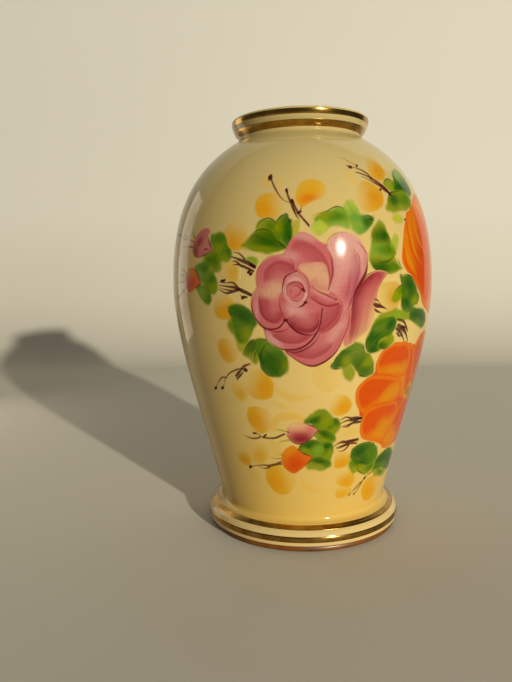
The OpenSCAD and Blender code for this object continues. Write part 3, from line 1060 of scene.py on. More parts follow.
def twigs(p, strokes):
    """Wiry stems: (path, width, colour) with a heavier start."""
    for path, width, colour in strokes:
        p.line(path, colour, 1.35 * width, 0.9, 0.3, 0.97, belly=0.25)


def dots(p, places, size=2.4, colour=TWIG_DARK):
    """Short dabs at the tips of twigs."""
    for s, z in places:
        p.line([(s - 0.5, z - 0.3), (s, z), (s + 0.5, z + 0.4)], colour, size, 0.85, 0.85, 1)


def leaves_over_top_petal(p):
    """Leaves at the upper left of the rose."""
    p.spot((-40.5, 199), (9, 9), 250, strength=0.8)
    p.fill([(-5.2, 200), (-4.2, 206), (-1, 207.6), (-0.5, 204), (-2.2, 197), (-4, 193)],
           LEAF_OLIVE, 0.5, 0.9)
    p.root = (-7, 192)
    leaf(p, [(-26, 204.5), (-25, 207), (-21.5, 208.4), (-17, 207.9), (-14, 205.5), (-12, 201),
             (-12, 196), (-20, 196), (-27, 200)], LEAF_YELLOW, [((-16, 203), (6, 3), -40, LEAF)],
         [[(-26.3, 204), (-22, 208.3), (-17, 207.9), (-13.8, 205), (-11.8, 200)]])
    leaf(p, [(-14, 206), (-11, 209.5), (-8.3, 210.6), (-7.3, 207.7), (-5.4, 206.4), (-4.8, 200),
             (-6, 195), (-9, 191.5), (-13, 196), (-15.5, 202)], LEAF,
         [((-13, 204), (3, 5), 60, LEAF_YELLOW), ((-7, 200), (2.8, 8), 5, LEAF_DARK)],
         [[(-14, 206.3), (-11, 209.6), (-8.3, 210.7)], [(-8, 210), (-6.5, 206), (-5, 203)]])
    leaf(p, [(-35.5, 193.5), (-31, 197.6), (-27, 201), (-22, 202.5), (-17, 200.9), (-13, 197),
             (-9, 192), (-12, 189.8), (-18, 188.7), (-24, 189.5), (-30, 191.2)], LEAF_YELLOW,
         [((-18, 196), (10.5, 4.6), -12, LEAF_DARK), ((-24, 191), (7, 2), 0, LEAF_YELLOW)],
         [[(-32, 197), (-27, 201.3), (-22, 202.7), (-17, 201), (-13.3, 197.5)],
          [(-13.5, 196), (-9, 192), (-7.5, 189.5)]])
    p.root = (-24, 186)
    leaf(p, [(-32, 186), (-30, 187.4), (-27.3, 187), (-25.5, 185), (-26.3, 182.3), (-29, 181.6),
             (-31.5, 183.5)], LEAF_LIME)


def leaves_over_sail(p):
    """The pale leaf over the sail petal, in four lobes."""
    p.line([(5, 206.5), (9, 210), (14, 211.4), (19, 213)], STEM_GOLD, 1.3, 0.2, 0.4, 0.8)
    p.root = (39, 197)
    leaf(p, [(8, 207.5), (12, 210.8), (17, 212), (22, 214.3), (27, 213.3), (30, 210.5), (31.5, 206),
             (29, 202.3), (23, 203.6), (17, 203.8), (11, 205)], LEAF_MIST,
         [((21, 209), (8, 3), 5, LEAF), ((13, 209.5), (5, 2), 10, LEAF_YELLOW)],
         [[(10, 210), (16, 212), (22, 214.5), (27, 213.2), (30.6, 209)]])
    leaf(p, [(27, 214), (29, 217.2), (32, 218), (35, 215.7), (37, 212), (36.5, 207), (31, 208)],
         LEAF_LIGHT, [((33, 210), (4, 4), 90, LEAF_PALE)])
    leaf(p, [(31, 209.5), (36, 210.3), (42, 209.9), (46, 209), (46.6, 206.6), (43, 203), (39, 199.6),
             (35, 198.4), (32, 201), (30.5, 205)], LEAF_SOFT,
         [((42, 206), (5, 3), 20, LEAF_DARK), ((34, 204), (3, 5), 80, LEAF_PALE)],
         [[(41, 209.6), (44, 209.4), (46.6, 207.6)], [(42, 207.6), (45, 207.6), (46.4, 206.2)]])
    leaf(p, [(7.3, 202), (8.5, 205.2), (11.5, 206.5), (14.8, 205.3), (15.6, 202), (13.5, 199.3),
             (10, 199)], LEAF_BRIGHT)


def leaves_beside_sail(p):
    """The long leaf right of the sail petal."""
    p.root = (66, 177)
    leaf(p, [(57, 194), (60, 197.2), (63, 198.7), (64.4, 196.5), (63, 192), (61, 187.5),
             (57, 186)], LEAF_FRESH, [((58, 189), (3, 3), 60, LEAF)])
    leaf(p, [(44, 200), (46.5, 204), (50, 206.4), (54, 205.6), (56, 201), (57.5, 196), (58, 190),
             (60, 186), (63, 182), (66.2, 178.8), (62, 177), (56, 175.9), (50, 177), (45, 179),
             (42, 182.5), (42.3, 187), (43.6, 193)], LEAF_YELLOW,
         [((51.5, 198), (3.6, 7), 92, LEAF_DARK), ((48, 190), (3.4, 7), 85, LEAF_PALE),
          ((54, 190), (3, 7), 90, LEAF), ((50, 180), (8, 3), 0, LEAF_DARK),
          ((61, 180), (4, 2), -15, LEAF)],
         [[(43, 184), (46, 178.6), (52, 176.2), (58, 176)], [(62.4, 185.4), (64.2, 182.5), (66.2, 179)],
          [(47, 182), (54, 183), (58, 185), (61, 188)]])


def leaves_left_of_rose(p):
    """The leaf left of the rose, over two ochre dabs."""
    p.spot((-48, 157.5), (8, 8), 285)
    p.spot((-49, 131), (8, 8), 200, strength=0.85)
    p.root = (-27, 147)
    leaf(p, [(-43, 151), (-46.3, 148), (-46, 144), (-43, 141), (-39, 139), (-37, 144)], LEAF_YELLOW,
         [((-41, 146), (3, 4), 60, LEAF)])
    leaf(p, [(-41.5, 141), (-37, 140), (-33, 138.5), (-34, 134), (-38, 131.3), (-41.5, 133)],
         LEAF_RUSSET, [((-37, 138), (3, 2), 0, LEAF)])
    leaf(p, [(-45, 157.3), (-41, 158.8), (-36, 158.6), (-31, 156), (-28, 152), (-26, 148),
             (-29, 143.5), (-33, 138.5), (-38, 135.8), (-41, 140), (-42, 146), (-43.2, 152)], LEAF,
         [((-35, 153), (8, 4), -20, LEAF_DARK), ((-38, 143), (4, 6), 60, LEAF),
          ((-33, 141), (4, 4), 50, LEAF_YELLOW)],
         [[(-45, 157), (-43.6, 153), (-42.4, 150)]])


def leaves_under_apron(p):
    """The dark leaf at the lower left of the rose."""
    p.root = (-29, 138)
    leaf(p, [(-37.3, 129.5), (-36, 133), (-31, 137.4), (-26, 138.9), (-23, 135), (-25, 129),
             (-29, 124), (-33.4, 126.5)], LEAF_YELLOW, [((-30, 134.5), (6, 2.6), 35, LEAF_DARK)],
         [[(-36.5, 132), (-31, 137.2), (-26, 139)], [(-30, 124.5), (-29.5, 129), (-26.5, 134)]])
    leaf(p, [(-27, 138.2), (-22, 138.8), (-17, 136), (-12, 132.8), (-9, 128), (-8.3, 122), (-11, 117),
             (-16, 115.2), (-21, 116.2), (-25, 120), (-26.5, 126), (-28, 132)], LEAF,
         [((-12, 124), (3.5, 7), 80, LEAF_YELLOW), ((-20.5, 126), (4.4, 9), 100, LEAF_DARK),
          ((-17, 120), (4, 4), 0, LEAF_DARK)],
         [[(-26, 121), (-26, 128), (-23, 134), (-20, 137)], [(-27, 138.3), (-21, 138.8), (-16, 135.6)],
          [(-25.8, 121), (-22, 116.6), (-18, 115.4)]])


def leaves_under_skirt(p):
    """The leaf at the lower right of the rose."""
    p.root = (40, 132)
    leaf(p, [(26, 123), (27, 118), (29.5, 113.6), (33, 112.5), (35.6, 115.4), (34.6, 120),
             (31, 123.5)], LEAF_YELLOW)
    leaf(p, [(18.6, 121.6), (21, 127), (26, 132), (31, 135.6), (36, 136.4), (41, 134), (45.5, 127.5),
             (49.6, 121), (50, 116.6), (45, 114.4), (40, 115.2), (36, 118.6), (32, 122.5),
             (26, 121.2)], LEAF,
         [((24.5, 127), (6, 3), 50, LEAF_DARK), ((40, 121.5), (6, 4), -35, LEAF_DARK),
          ((46, 125), (3, 7), 125, LEAF_YELLOW), ((29, 125), (3, 3), 0, LEAF_YELLOW)],
         [[(18.6, 121), (22, 120.8), (26.5, 120.8)], [(19, 122), (22, 128), (26, 132)],
          [(38, 116.4), (41, 115), (46, 114.2)]])


def leaves_beside_high_bloom(p):
    """Leaves left of the upper flower."""
    p.spot((56, 162), (10, 10), 15, OCHRE_SOFT, OCHRE_SOFT_CORE, 0.7)
    p.root = (74, 152)
    leaf(p, [(75, 151.6), (79, 154), (86, 154.3), (94, 153), (101, 150), (105, 144.5), (99, 141),
             (90, 142.5), (82, 146), (77, 148)], LEAF,
         [((84, 150.5), (8, 3), -5, LEAF_DARK), ((97, 148), (5, 4), -20, LEAF_DARK)])
    p.root = (66, 164)
    leaf(p, [(58, 160), (60, 165.2), (64, 168.2), (68, 169), (70, 166), (68, 162), (63, 159)],
         LEAF_YELLOW, [((66, 166), (3, 2), 30, LEAF)])
    leaf(p, [(65, 174.8), (69, 174.4), (74, 174.7), (78, 172), (82, 167), (86, 161.5), (85, 157.5),
             (80, 156), (76, 152), (70, 152), (67, 156), (66.4, 162), (66.3, 168)], LEAF,
         [((75, 168.5), (6, 4.5), -40, LEAF_DARK), ((71.5, 158), (3, 6), 75, LEAF_DARK),
          ((80.5, 159.5), (4, 2.6), 20, LEAF_YELLOW)],
         [[(65, 175), (65.8, 171), (66.3, 168)], [(65.2, 174.9), (72, 174.9), (78, 172.2), (84, 165)],
          [(60, 165.3), (65, 168.4), (69, 169)]])


def leaves_over_low_bloom(p):
    """Leaves over the lower flower."""
    p.fill([(49, 141), (55, 142.4), (61, 140), (62, 135), (57, 132), (51, 133)], LEAF_YELLOW, 0.8, 0.95)
    p.root = (64, 150)
    leaf(p, [(46, 148), (50, 152), (56, 154.2), (63, 154.7), (70, 153), (77, 150), (70, 147),
             (60, 148), (52, 146.5)], LEAF_YELLOW, [((66, 151), (6, 2), 0, LEAF_LIME)])
    leaf(p, [(42, 140), (44.5, 145.7), (48, 148.8), (54, 150.4), (60, 150.3), (63.7, 147),
             (63, 142.5), (59, 139.3), (54, 138.5), (51, 136), (54, 133), (51, 129.8), (46, 128.6),
             (42.3, 131), (40.8, 135.5)], LEAF,
         [((45, 138), (4, 8), 85, LEAF_DARK), ((59, 146), (4, 3.4), 30, LEAF_DARK),
          ((51, 147), (5, 2), 15, LEAF), ((47, 131.5), (4, 2.4), 0, LEAF_DARK)],
         [[(42, 141), (40.9, 135.5), (42.5, 131), (46, 128.7)]])
    leaf(p, [(52, 136), (57, 138.5), (62.6, 139), (63.4, 136), (60, 132.4), (55, 131), (51, 132.6)],
         LEAF_YELLOW, [((54, 133.5), (3, 2), 0, LEAF_DARK)], [[(52, 133), (56, 131.2), (60, 132.3)]])


def dabs_of_top_spray(p):
    """The ochre dabs under the spray."""
    p.spot((46.5, 221), (11, 9.3), 350, OCHRE_TOP, OCHRE_TOP_CORE, tilt=12)
    p.spot((60.5, 239.5), (9, 8), 290, OCHRE_TIP, OCHRE_TIP_CORE, tilt=35)
    p.spot((35, 232), (6, 5), 0, OCHRE_PALE, strength=0.35)


def leaves_of_top_spray(p):
    """The leaves of the spray."""
    p.root = (62, 225)
    leaf(p, [(61.3, 228.5), (64, 231.3), (68, 232.7), (72, 232.4), (76, 231), (80, 229), (78, 225),
             (70, 225), (64, 226)], LEAF_YELLOW, [((75, 228), (4, 3), 0, LEAF)],
         [[(62, 229.5), (67, 232.6), (72, 232.5), (76, 231)]])
    leaf(p, [(72, 226), (75, 231.6), (78, 236.2), (82, 239.6), (88, 240.6), (95, 238.5), (98, 231),
             (94, 225), (86, 222), (78, 223)], LEAF,
         [((80, 228.5), (7, 4.6), 20, LEAF_DARK), ((86, 237), (8, 3), 10, LEAF_PALE),
          ((90, 229), (5, 5), 0, LEAF_DARK)], [[(76, 231.5), (78.5, 236), (82, 239.2)]])
    leaf(p, [(57.5, 213.4), (60, 218), (63.5, 222.6), (68, 224.9), (76, 225.7), (84, 226), (90, 222),
             (87, 217.5), (80, 214.6), (72, 213.3), (64, 212.2)], LEAF_YELLOW,
         [((67.5, 220), (5, 3.2), 20, LEAF_DARK), ((80, 221), (7, 3.4), 5, LEAF)],
         [[(60, 218), (64, 222.8), (69, 225), (76, 225.6)]])
    leaf(p, [(62, 209), (65, 211.2), (69, 211.3), (72, 209), (70, 206.4), (66, 206)],
         LEAF_TENDER)


def twigs_of_top_spray(p):
    """Stems that run up and left from the spray."""
    twigs(p, [([(64.8, 223), (62, 226), (58.5, 229), (52, 232.4), (45, 235), (41, 235.6)], 1.9, TWIG),
              ([(65, 222.8), (61, 226.6), (58, 229.2)], 1.9, TWIG_DARK),
              ([(52.5, 232), (50, 235.4), (46, 237.4), (40, 238.7), (37, 239)], 1.0, TWIG),
              ([(36.5, 239), (38, 239), (34.5, 239.9)], 1.5, TWIG_DARK),
              ([(43.5, 240), (40, 241.5), (35, 243.8), (30.5, 245)], 0.8, STEM_PALE),
              ([(61, 226), (56, 228.6), (50, 231), (44.5, 233.3)], 1.0, TWIG),
              ([(62.5, 224), (59.5, 225.6), (56.5, 228)], 1.1, TWIG)])
    dots(p, [(43.4, 239.9), (52.2, 232.3), (57, 225.3), (74.6, 208.4)], 1.6)


def bud(p, outline, base, dabs, edges, hairs, tuft):
    """A closed flower in its calyx: petals, their dark seams and the wiry sepals behind."""
    for path in hairs:
        p.line(path, tuft, 1.1, 0.9, 0.15, 0.9, belly=0.15)
    mask = p.fill(outline, base, 0.5, 1.0)
    for centre, radii, tilt, colour in dabs:
        p.blot(centre, radii, colour, mask, tilt, 0.9, 0.35)
    for edge in edges:
        p.line(edge, BURGUNDY * 0.7, 0.9, 0.3, 0.4, 0.95)


def dabs_of_left_buds(p):
    """Pale dabs under the buds at the left."""
    p.fill([(-60, 186), (-54, 190), (-49, 190), (-49, 186), (-54, 183)], LEAF, 0.8, 0.9)
    p.spot((-78, 190), (9, 9), 120, OCHRE_FAINT, strength=0.4)
    p.spot((-43.5, 178), (9, 8), 0, OCHRE_PALE, OCHRE, 0.7)


def leaves_of_pink_left_bud(p):
    """The leaves right of the pink bud."""
    p.root = (-62, 190)
    leaf(p, [(-58, 190.6), (-53, 189.2), (-50.3, 185), (-49.8, 180.5), (-53, 177.8), (-57, 178.4),
             (-61, 182), (-65, 186.6), (-62, 188.7)], LEAF_YELLOW,
         [((-55, 185.5), (5, 3.4), 110, LEAF), ((-60, 185), (3, 3), 30, LEAF)])
    leaf(p, [(-60, 200), (-56, 201.8), (-50, 202), (-46.3, 199.2), (-45.2, 195), (-48, 190.6),
             (-53, 189.8), (-58, 192)], LEAF_LEFT,
         [((-52, 198), (5, 3), 0, LEAF), ((-52, 192), (4, 2.4), 0, LEAF_YELLOW)])
    leaf(p, [(-47, 196), (-43.5, 193.3), (-41.8, 189), (-44, 185.4), (-48, 184.3), (-51, 187),
             (-50, 192)], LEAF_LEFT, [((-44.5, 191), (2.6, 4), 20, LEAF),
                                      ((-48, 186.5), (3, 2), 0, LEAF_YELLOW)])


def leaves_of_orange_left_bud(p):
    """The leaves right of the orange bud."""
    p.root = (-68, 174)
    leaf(p, [(-61, 180), (-56.5, 178.2), (-53, 174), (-52.2, 169), (-55, 164.8), (-59, 166),
             (-63, 170), (-66, 173), (-64, 177)], LEAF_LEFT,
         [((-57, 174), (3.4, 4), 120, LEAF), ((-55, 168), (2.6, 3), 0, LEAF_YELLOW)])
    leaf(p, [(-73, 169.5), (-68, 170.6), (-62, 169.8), (-58.3, 166), (-57.8, 161.5), (-60.5, 158.9),
             (-64.5, 159.8), (-69, 164.5)], LEAF_LEFT,
         [((-61, 162), (2.8, 3.6), 120, LEAF), ((-67, 166), (3.4, 3), 130, LEAF_PALE)])
    leaf(p, [(-73.6, 181), (-69, 184.2), (-63, 185.2), (-59, 183), (-60, 179), (-64, 175),
             (-67.5, 172), (-70.5, 176)], LEAF_GREY,
         [((-64, 181), (4, 3), 10, LEAF), ((-68, 177), (2.6, 3), 60, LEAF_PALE)])


def left_buds(p):
    """The two buds at the left and the twigs past them."""
    bud(p, [(-77, 196), (-76.6, 191.5), (-74, 188.5), (-70, 187.3), (-65, 188), (-60.5, 190),
            (-57.3, 191.6), (-59, 196), (-61.8, 200), (-60.5, 203), (-64, 205), (-69, 204.4),
            (-73.5, 201)], BUD_PINK,
        [((-70, 197), (5, 3), 40, CRIMSON), ((-66, 202.5), (5, 2), 10, PINK),
         ((-73, 191), (4, 2.5), -50, CRIMSON), ((-65, 190.5), (6, 1.6), 8, PINK)],
        [[(-76.8, 196), (-76.5, 191.5), (-73.5, 188.3), (-69.5, 187.3)], [(-65, 192.4), (-60, 191.6)],
         [(-62, 199.8), (-59.5, 195), (-57.4, 191)], [(-69.5, 187.3), (-63, 188.6), (-58, 191)]],
        [[(-75, 198.5), (-77.5, 201.5), (-80.5, 205.7)], [(-76, 196.8), (-81, 198), (-86, 199.6)],
         [(-76.5, 193.6), (-83, 194.2), (-90, 194)]], SEPAL_DARK)
    bud(p, [(-86.2, 174), (-85.2, 169), (-82, 166.5), (-79, 166), (-73, 168.5), (-67.3, 171),
            (-70, 176), (-73.5, 180.6), (-78, 181.6), (-83, 179.6)], BUD_ORANGE,
        [((-80, 170), (5, 3), 20, BUD_RUST), ((-79, 178.6), (5, 2.4), -10, OCHRE)],
        [[(-73.5, 180.8), (-70, 176), (-67.2, 171.2)], [(-73, 168.2), (-69.5, 170), (-67, 171.2)]],
        [[(-84, 177.6), (-88.5, 179.5), (-95, 182.6)], [(-86, 172), (-94, 172.2), (-103, 172.4)],
         [(-86, 175.6), (-91, 176.6), (-97, 176.8)]], SEPAL_BROWN)
    p.line([(-86, 200), (-92, 202), (-100, 203.5), (-108, 204.4)], STEM_ROSY, 1.2, 0.5, 0.7, 0.8)
    p.line([(-86, 167), (-91, 165), (-97, 163.2), (-102, 160)], STEM_ASH, 1.3, 0.5, 0.6, 0.85)


def leaves_of_pink_low_bud(p):
    """The leaves right of the pink bud."""
    p.fill([(8, 86), (14, 90), (22, 88.6), (27, 83), (25, 77), (18, 77), (12, 81)], LEAF_LOW, 0.9, 0.95)
    p.fill([(2, 66), (8, 73), (15, 77), (22, 76), (25, 70), (24, 60), (16, 58), (8, 60)], LEAF_LOW,
           0.9, 0.95)
    p.fill([(8, 86), (16, 86), (20, 80), (16, 76), (10, 77)], LEAF_LOW, 0.4, 0.95)
    p.root = (10, 82)
    leaf(p, [(22, 89.4), (26, 88.9), (29, 86.5), (30.2, 83), (28, 80), (23, 79.8), (18, 82.4),
             (14, 84), (17, 86.4)], LEAF_YELLOW, [((25, 87), (3.6, 2), -25, LEAF_DARK),
                                                  ((21, 82.6), (4, 1.6), 20, LEAF)])
    leaf(p, [(12, 82), (17, 81.6), (22, 79.6), (26, 76.6), (26.6, 73.4), (22, 72.6), (17, 75),
             (13.4, 78.4)], LEAF_YELLOW, [((18, 79), (5, 2), -20, LEAF_DARK),
                                          ((23, 76), (3, 2), -30, LEAF)])
    leaf(p, [(1.6, 86.6), (5, 90.6), (9.5, 93.9), (14, 95.2), (18, 94), (21, 91.5), (23.6, 88.5),
             (22, 85), (16, 84), (9, 84.8)], LEAF_LOW,
         [((9, 88), (5, 1.8), 15, LEAF_DARK), ((18, 88), (4, 4), 40, LEAF_YELLOW),
          ((10, 93), (6, 1.6), 25, LEAF_YELLOW)])


def leaves_of_orange_low_bud(p):
    """The leaves right of the orange bud."""
    p.root = (0, 62)
    leaf(p, [(15, 70.6), (18, 72.7), (22, 72.2), (25, 69), (25.7, 65), (22, 62.3), (16, 63.4),
             (13, 66.5)], LEAF_LOW, [((20, 70), (4, 2.4), -20, LEAF_DARK),
                                     ((23, 65), (2, 3), 0, LEAF_YELLOW)])
    leaf(p, [(8, 62.6), (14, 64), (20, 62.2), (24.6, 59.6), (24, 55.8), (19, 53.9), (12, 54), (5, 55),
             (4.6, 58)], LEAF_YELLOW, [((15, 60.5), (7, 2), -8, LEAF_DARK),
                                       ((21, 57.5), (3, 2), 0, LEAF)])
    leaf(p, [(-3.2, 67.5), (0, 72), (4, 74.9), (9, 75.4), (13, 73.5), (17, 70), (16, 66), (10, 64.2),
             (4, 66)], LEAF_LOW, [((6, 71.4), (7, 2.8), 5, LEAF_DARK), ((13, 68), (4, 3), 0, LEAF_DULL),
                                  ((3, 68), (4, 1.4), -15, LEAF_YELLOW)])


def low_buds(p):
    """The two buds under the rose."""
    bud(p, [(-11.2, 79.5), (-11, 77), (-8, 74), (-3, 72.4), (2, 73), (7, 76), (11, 79.6),
            (12.6, 81.6), (8, 84), (3, 85.8), (-2, 87), (-7, 85.4), (-10.6, 82.4)], BUD_BLUSH,
        [((0, 77.4), (10, 4.6), 5, ROSE), ((-1, 76.4), (9, 3.6), 5, CRIMSON),
         ((0, 75.4), (7, 2.4), 8, DEEP), ((-4, 85), (8, 2.8), 0, BUD_CREAM),
         ((7, 81.6), (4, 2), -20, PINK)],
        [[(-11, 78), (-8, 74), (-3, 72.3), (2, 73), (7, 76), (12, 81)],
         [(2, 86), (6, 84.6), (10, 83.3), (12.6, 81.4)], [(10.6, 79.6), (13, 82)],
         [(-11, 80.2), (-8.5, 79.6)]],
        [[(-10.5, 80), (-19, 81.4), (-28, 82)], [(-9, 74.6), (-15, 73.4), (-22, 71)]], SEPAL_OLIVE)
    bud(p, [(-16.6, 60), (-15.6, 65), (-12, 69), (-7, 71.2), (-3.5, 69.2), (0, 66.4), (4, 64.8),
            (8.2, 63), (6, 59.6), (3, 56.4), (-2, 53), (-6.5, 51.5), (-11, 52.6), (-15, 56)],
        ORANGE,
        [((-10, 67), (7, 3.4), 20, OCHRE_STRONG), ((-4, 60), (10, 7), 10, ORANGE_RED),
         ((-6, 56), (8, 4), 15, ORANGE_RED)],
        [[(-3.4, 68.6), (0.4, 66.2), (4, 64.8), (8.2, 63)], [(8.2, 63), (6, 59.6), (3, 56.8)],
         [(-3.2, 67.6), (-1, 71), (1.5, 73)]],
        [[(-14.5, 63.8), (-20, 65), (-27, 66.4)], [(-16.5, 61.6), (-22, 61.2), (-28.5, 61.8)]],
        SEPAL_OLIVE)


def dabs_of_low_spray(p):
    """The ochre dabs under the spray."""
    p.spot((34, 60), (8, 6.4), 275)
    p.spot((40.5, 46), (10, 6.6), 285, strength=0.85, tilt=-15)
    p.spot((39.5, 36.5), (8.5, 4.8), 270, OCHRE, OCHRE, 0.7)
    p.spot((76, 34.5), (15, 9.4), 230)


def leaves_of_low_spray(p):
    """The leaves of the spray."""
    p.root = (70, 50)
    leaf(p, [(71, 48), (78, 48.4), (86, 46), (93, 44), (99, 41.5), (92, 39.6), (84, 41.3), (76, 43)],
         LEAF_MOSS, [((86, 44), (6, 2), -10, LEAF)])
    leaf(p, [(69, 50), (73, 55), (78, 58.6), (86, 60), (96, 59), (106, 55), (112, 49), (108, 43.5),
             (100, 42.4), (92, 44.5), (84, 47), (76, 47.3)], LEAF,
         [((84, 54), (12, 4), 5, LEAF_DARK), ((100, 50), (8, 4), -25, LEAF_DARK),
          ((82, 49.5), (7, 2), 0, LEAF)])
    p.root = (70, 53)
    leaf(p, [(45, 60), (41.6, 56), (43.6, 51.5), (48, 48.8), (53, 50.5), (53, 57)], LEAF_YELLOW,
         [((46, 57), (3, 3), 0, LEAF)])
    leaf(p, [(42, 61), (42.6, 66), (47, 68.2), (53, 69.4), (60, 69.2), (66, 66.6), (71, 62.5),
             (73.4, 58), (70, 52), (64, 50), (57, 51), (50, 54), (45, 58)], LEAF,
         [((50, 64), (8, 4), 10, LEAF_DARK), ((57, 56), (6, 4), 0, LEAF_DARK),
          ((64, 60), (5, 6), 40, LEAF)],
         [[(42.4, 66), (48, 68.6), (55, 69.5), (62, 68.6), (69, 64.6)]])
    leaf(p, [(51, 55), (52, 50), (56, 47.8), (62, 46.2), (68, 47.4), (72.5, 51), (71, 55), (64, 52.6)],
         LEAF_YELLOW, [((66, 51), (5, 2), 20, LEAF)],
         [[(50.6, 55), (52, 50.4), (56, 47.9), (62, 46.2)]])


def twigs_of_low_spray(p):
    """Stems that hang down from the spray."""
    twigs(p, [([(71, 46.6), (67, 45.6), (63, 43.8)], 0.8, TWIG),
              ([(62, 43.6), (59.5, 41), (56, 39.6), (51, 36), (47, 33.2)], 1.1, STEM_TAN),
              ([(60, 41.2), (57, 37.6), (54.6, 34.6), (52.4, 33)], 1.1, STEM_BROWN),
              ([(56, 39.8), (53, 36.4), (50.6, 34.4)], 0.7, STEM_LIGHT)])
    dots(p, [(62.3, 43.6)], 2.2)
    dots(p, [(47.2, 33.2), (52.6, 33.2)], 1.6, STEM_DULL)


# ---------------------------------------------------------------- the orange flowers

LOW_HEART = (99, 99)
HIGH_HEART = (118.5, 186)
STAMEN_TURN = 2.4


def orange_petal(p, outline, red, yellow, dabs=(), root=None):
    """An orange petal with a plain rim, a deep arch towards the red angle inside it, and a light
    heart towards the yellow angle. A dab is (centre, radii, tilt) of yellow, and brush hairs
    spread from a root."""
    clip = p.fill(outline, ORANGE, 0.5, 1.0, streak=0.06)
    w, mask, depth = clip
    middle = np.array(outline, float).mean(0)
    size = np.ptp(np.array(outline, float), axis=0).mean() / 2
    for angle, colour, strength, start, inset in ((red, ORANGE_RED, 0.95, -0.45, 1.4),
                                                  (yellow, ORANGE_YELLOW, 0.8, 0.0, 2.2)):
        a = math.radians(angle)
        way = ((p.hs[w] - middle[0]) * math.cos(a) + (p.hz[w] - middle[1]) * math.sin(a)) / size
        brush = p.hairs(w, way * 20, depth, 0.35)
        inner = smooth(inset, inset + 2.2, depth)
        p.lay(w, mask * strength * inner * smooth(start, start + 0.5, way) * brush, colour, 0.15)
    for centre, radii, tilt in dabs:
        p.blot(centre, radii, ORANGE_YELLOW, clip, tilt, 0.9, 0.4)
    if root:
        p.fan(clip, root, ORANGE_YELLOW, ORANGE_RED * 0.8, 0.5)
    edge = smooth(1.0, 0.4, depth) * smooth(-0.4, 0.2, depth)
    p.lay(w, 0.6 * mask * edge, ORANGE_RIM, 0.1)
    return clip


def flower_heart(p, outline, middle, radii, count, reach, squash):
    """A yellow heart with a brown middle and stamens, whose distances from the middle run in
    steps of four from reach[0] by reach[1]."""
    heart = p.fill(outline, HEART_YELLOW, 0.8, 0.9)
    p.blot(middle, radii, HEART_BROWN, heart, 0, 0.8)
    for k in range(count):
        a = k * STAMEN_TURN
        r = reach[0] + reach[1] * (k % 4)
        dots(p, [(middle[0] + r * math.cos(a), middle[1] + squash * r * math.sin(a))], 0.9, STAMEN)


def low_bloom_far_petals(p):
    """The petals of the lower flower that face right and those behind."""
    p.fill([(52, 118), (56, 130), (70, 134), (90, 131), (112, 137), (132, 126), (146, 112), (144, 96),
            (130, 78), (110, 64), (84, 63), (60, 71), (48, 80), (42, 98), (44, 110)], ORANGE_RED, 0.6)
    orange_petal(p, [(100, 62.5), (110, 62), (120, 66), (130, 74), (134, 84), (128, 92), (116, 97),
                     (104, 98), (98, 88), (96, 74)], 120, 300, root=LOW_HEART)
    orange_petal(p, [(132, 88), (140, 92), (147, 100), (148, 110), (142, 118), (132, 121), (118, 116),
                     (106, 104), (118, 95)], 180, 0, root=LOW_HEART)
    orange_petal(p, [(134, 118), (132, 127), (124, 134), (112, 138), (100, 137), (92, 131), (90, 120),
                     (98, 108), (112, 106), (124, 112)], 250, 70, root=LOW_HEART)
    orange_petal(p, [(74, 72), (76, 64), (84, 61), (94, 60.8), (104, 64), (112, 73), (113, 84),
                     (108, 92), (98, 97), (90, 90), (84, 82)], 70, 230)
    orange_petal(p, [(76, 109), (78, 130), (86, 131.6), (93, 126), (97, 116), (99, 104), (96, 96),
                     (84, 97)], 20, 200)


def low_bloom_near_petals(p):
    """The three petals that face the rose, and their seams."""
    orange_petal(p, [(51, 121), (52.5, 127), (57, 131.9), (64, 134.2), (72, 134.2), (80, 132.6),
                     (86, 127), (88, 119), (84, 111), (76, 110.8), (68, 113.2), (60, 114.7),
                     (54, 114.6)], 95, 275, [((67, 116.6), (9, 3.4), -4)])
    orange_petal(p, [(38.3, 103), (39.4, 108.6), (43.5, 112.6), (50, 114.6), (58, 114.2), (68, 112.6),
                     (78, 110), (84, 104), (84, 98), (78, 95), (68, 94.4), (58, 94), (50, 89.4),
                     (44, 92.5), (40, 97.5)], 120, 300, [((69, 101), (8, 5.4), 30)])
    orange_petal(p, [(46.4, 80), (46.6, 87), (51, 92.6), (59, 95), (70, 95.4), (80, 95), (86, 91),
                     (87, 83), (83, 75), (75, 66.5), (66, 68.4), (58, 69.8),
                     (50, 73.6)], 115, 285, [((70, 79), (7, 6), 40)])
    for seam in ([(50, 92), (54, 94.6), (62, 95), (72, 95.3), (80, 95)],
                 [(57, 95), (57.6, 99.6), (61, 104.4), (67, 108.6)],
                 [(52.5, 126), (51, 120.5), (53, 115.6), (57, 114.4)]):
        p.line(seam, ORANGE_SEAM, 0.9, 0.3, 0.3, 0.7)


def low_bloom_heart(p):
    """The heart of the lower flower."""
    flower_heart(p, [(92, 98), (95, 103), (101, 105), (106, 102), (106, 96), (101, 93), (95, 94)],
                 LOW_HEART, (4, 3.4), 14, (3.5, 1.2), 0.85)


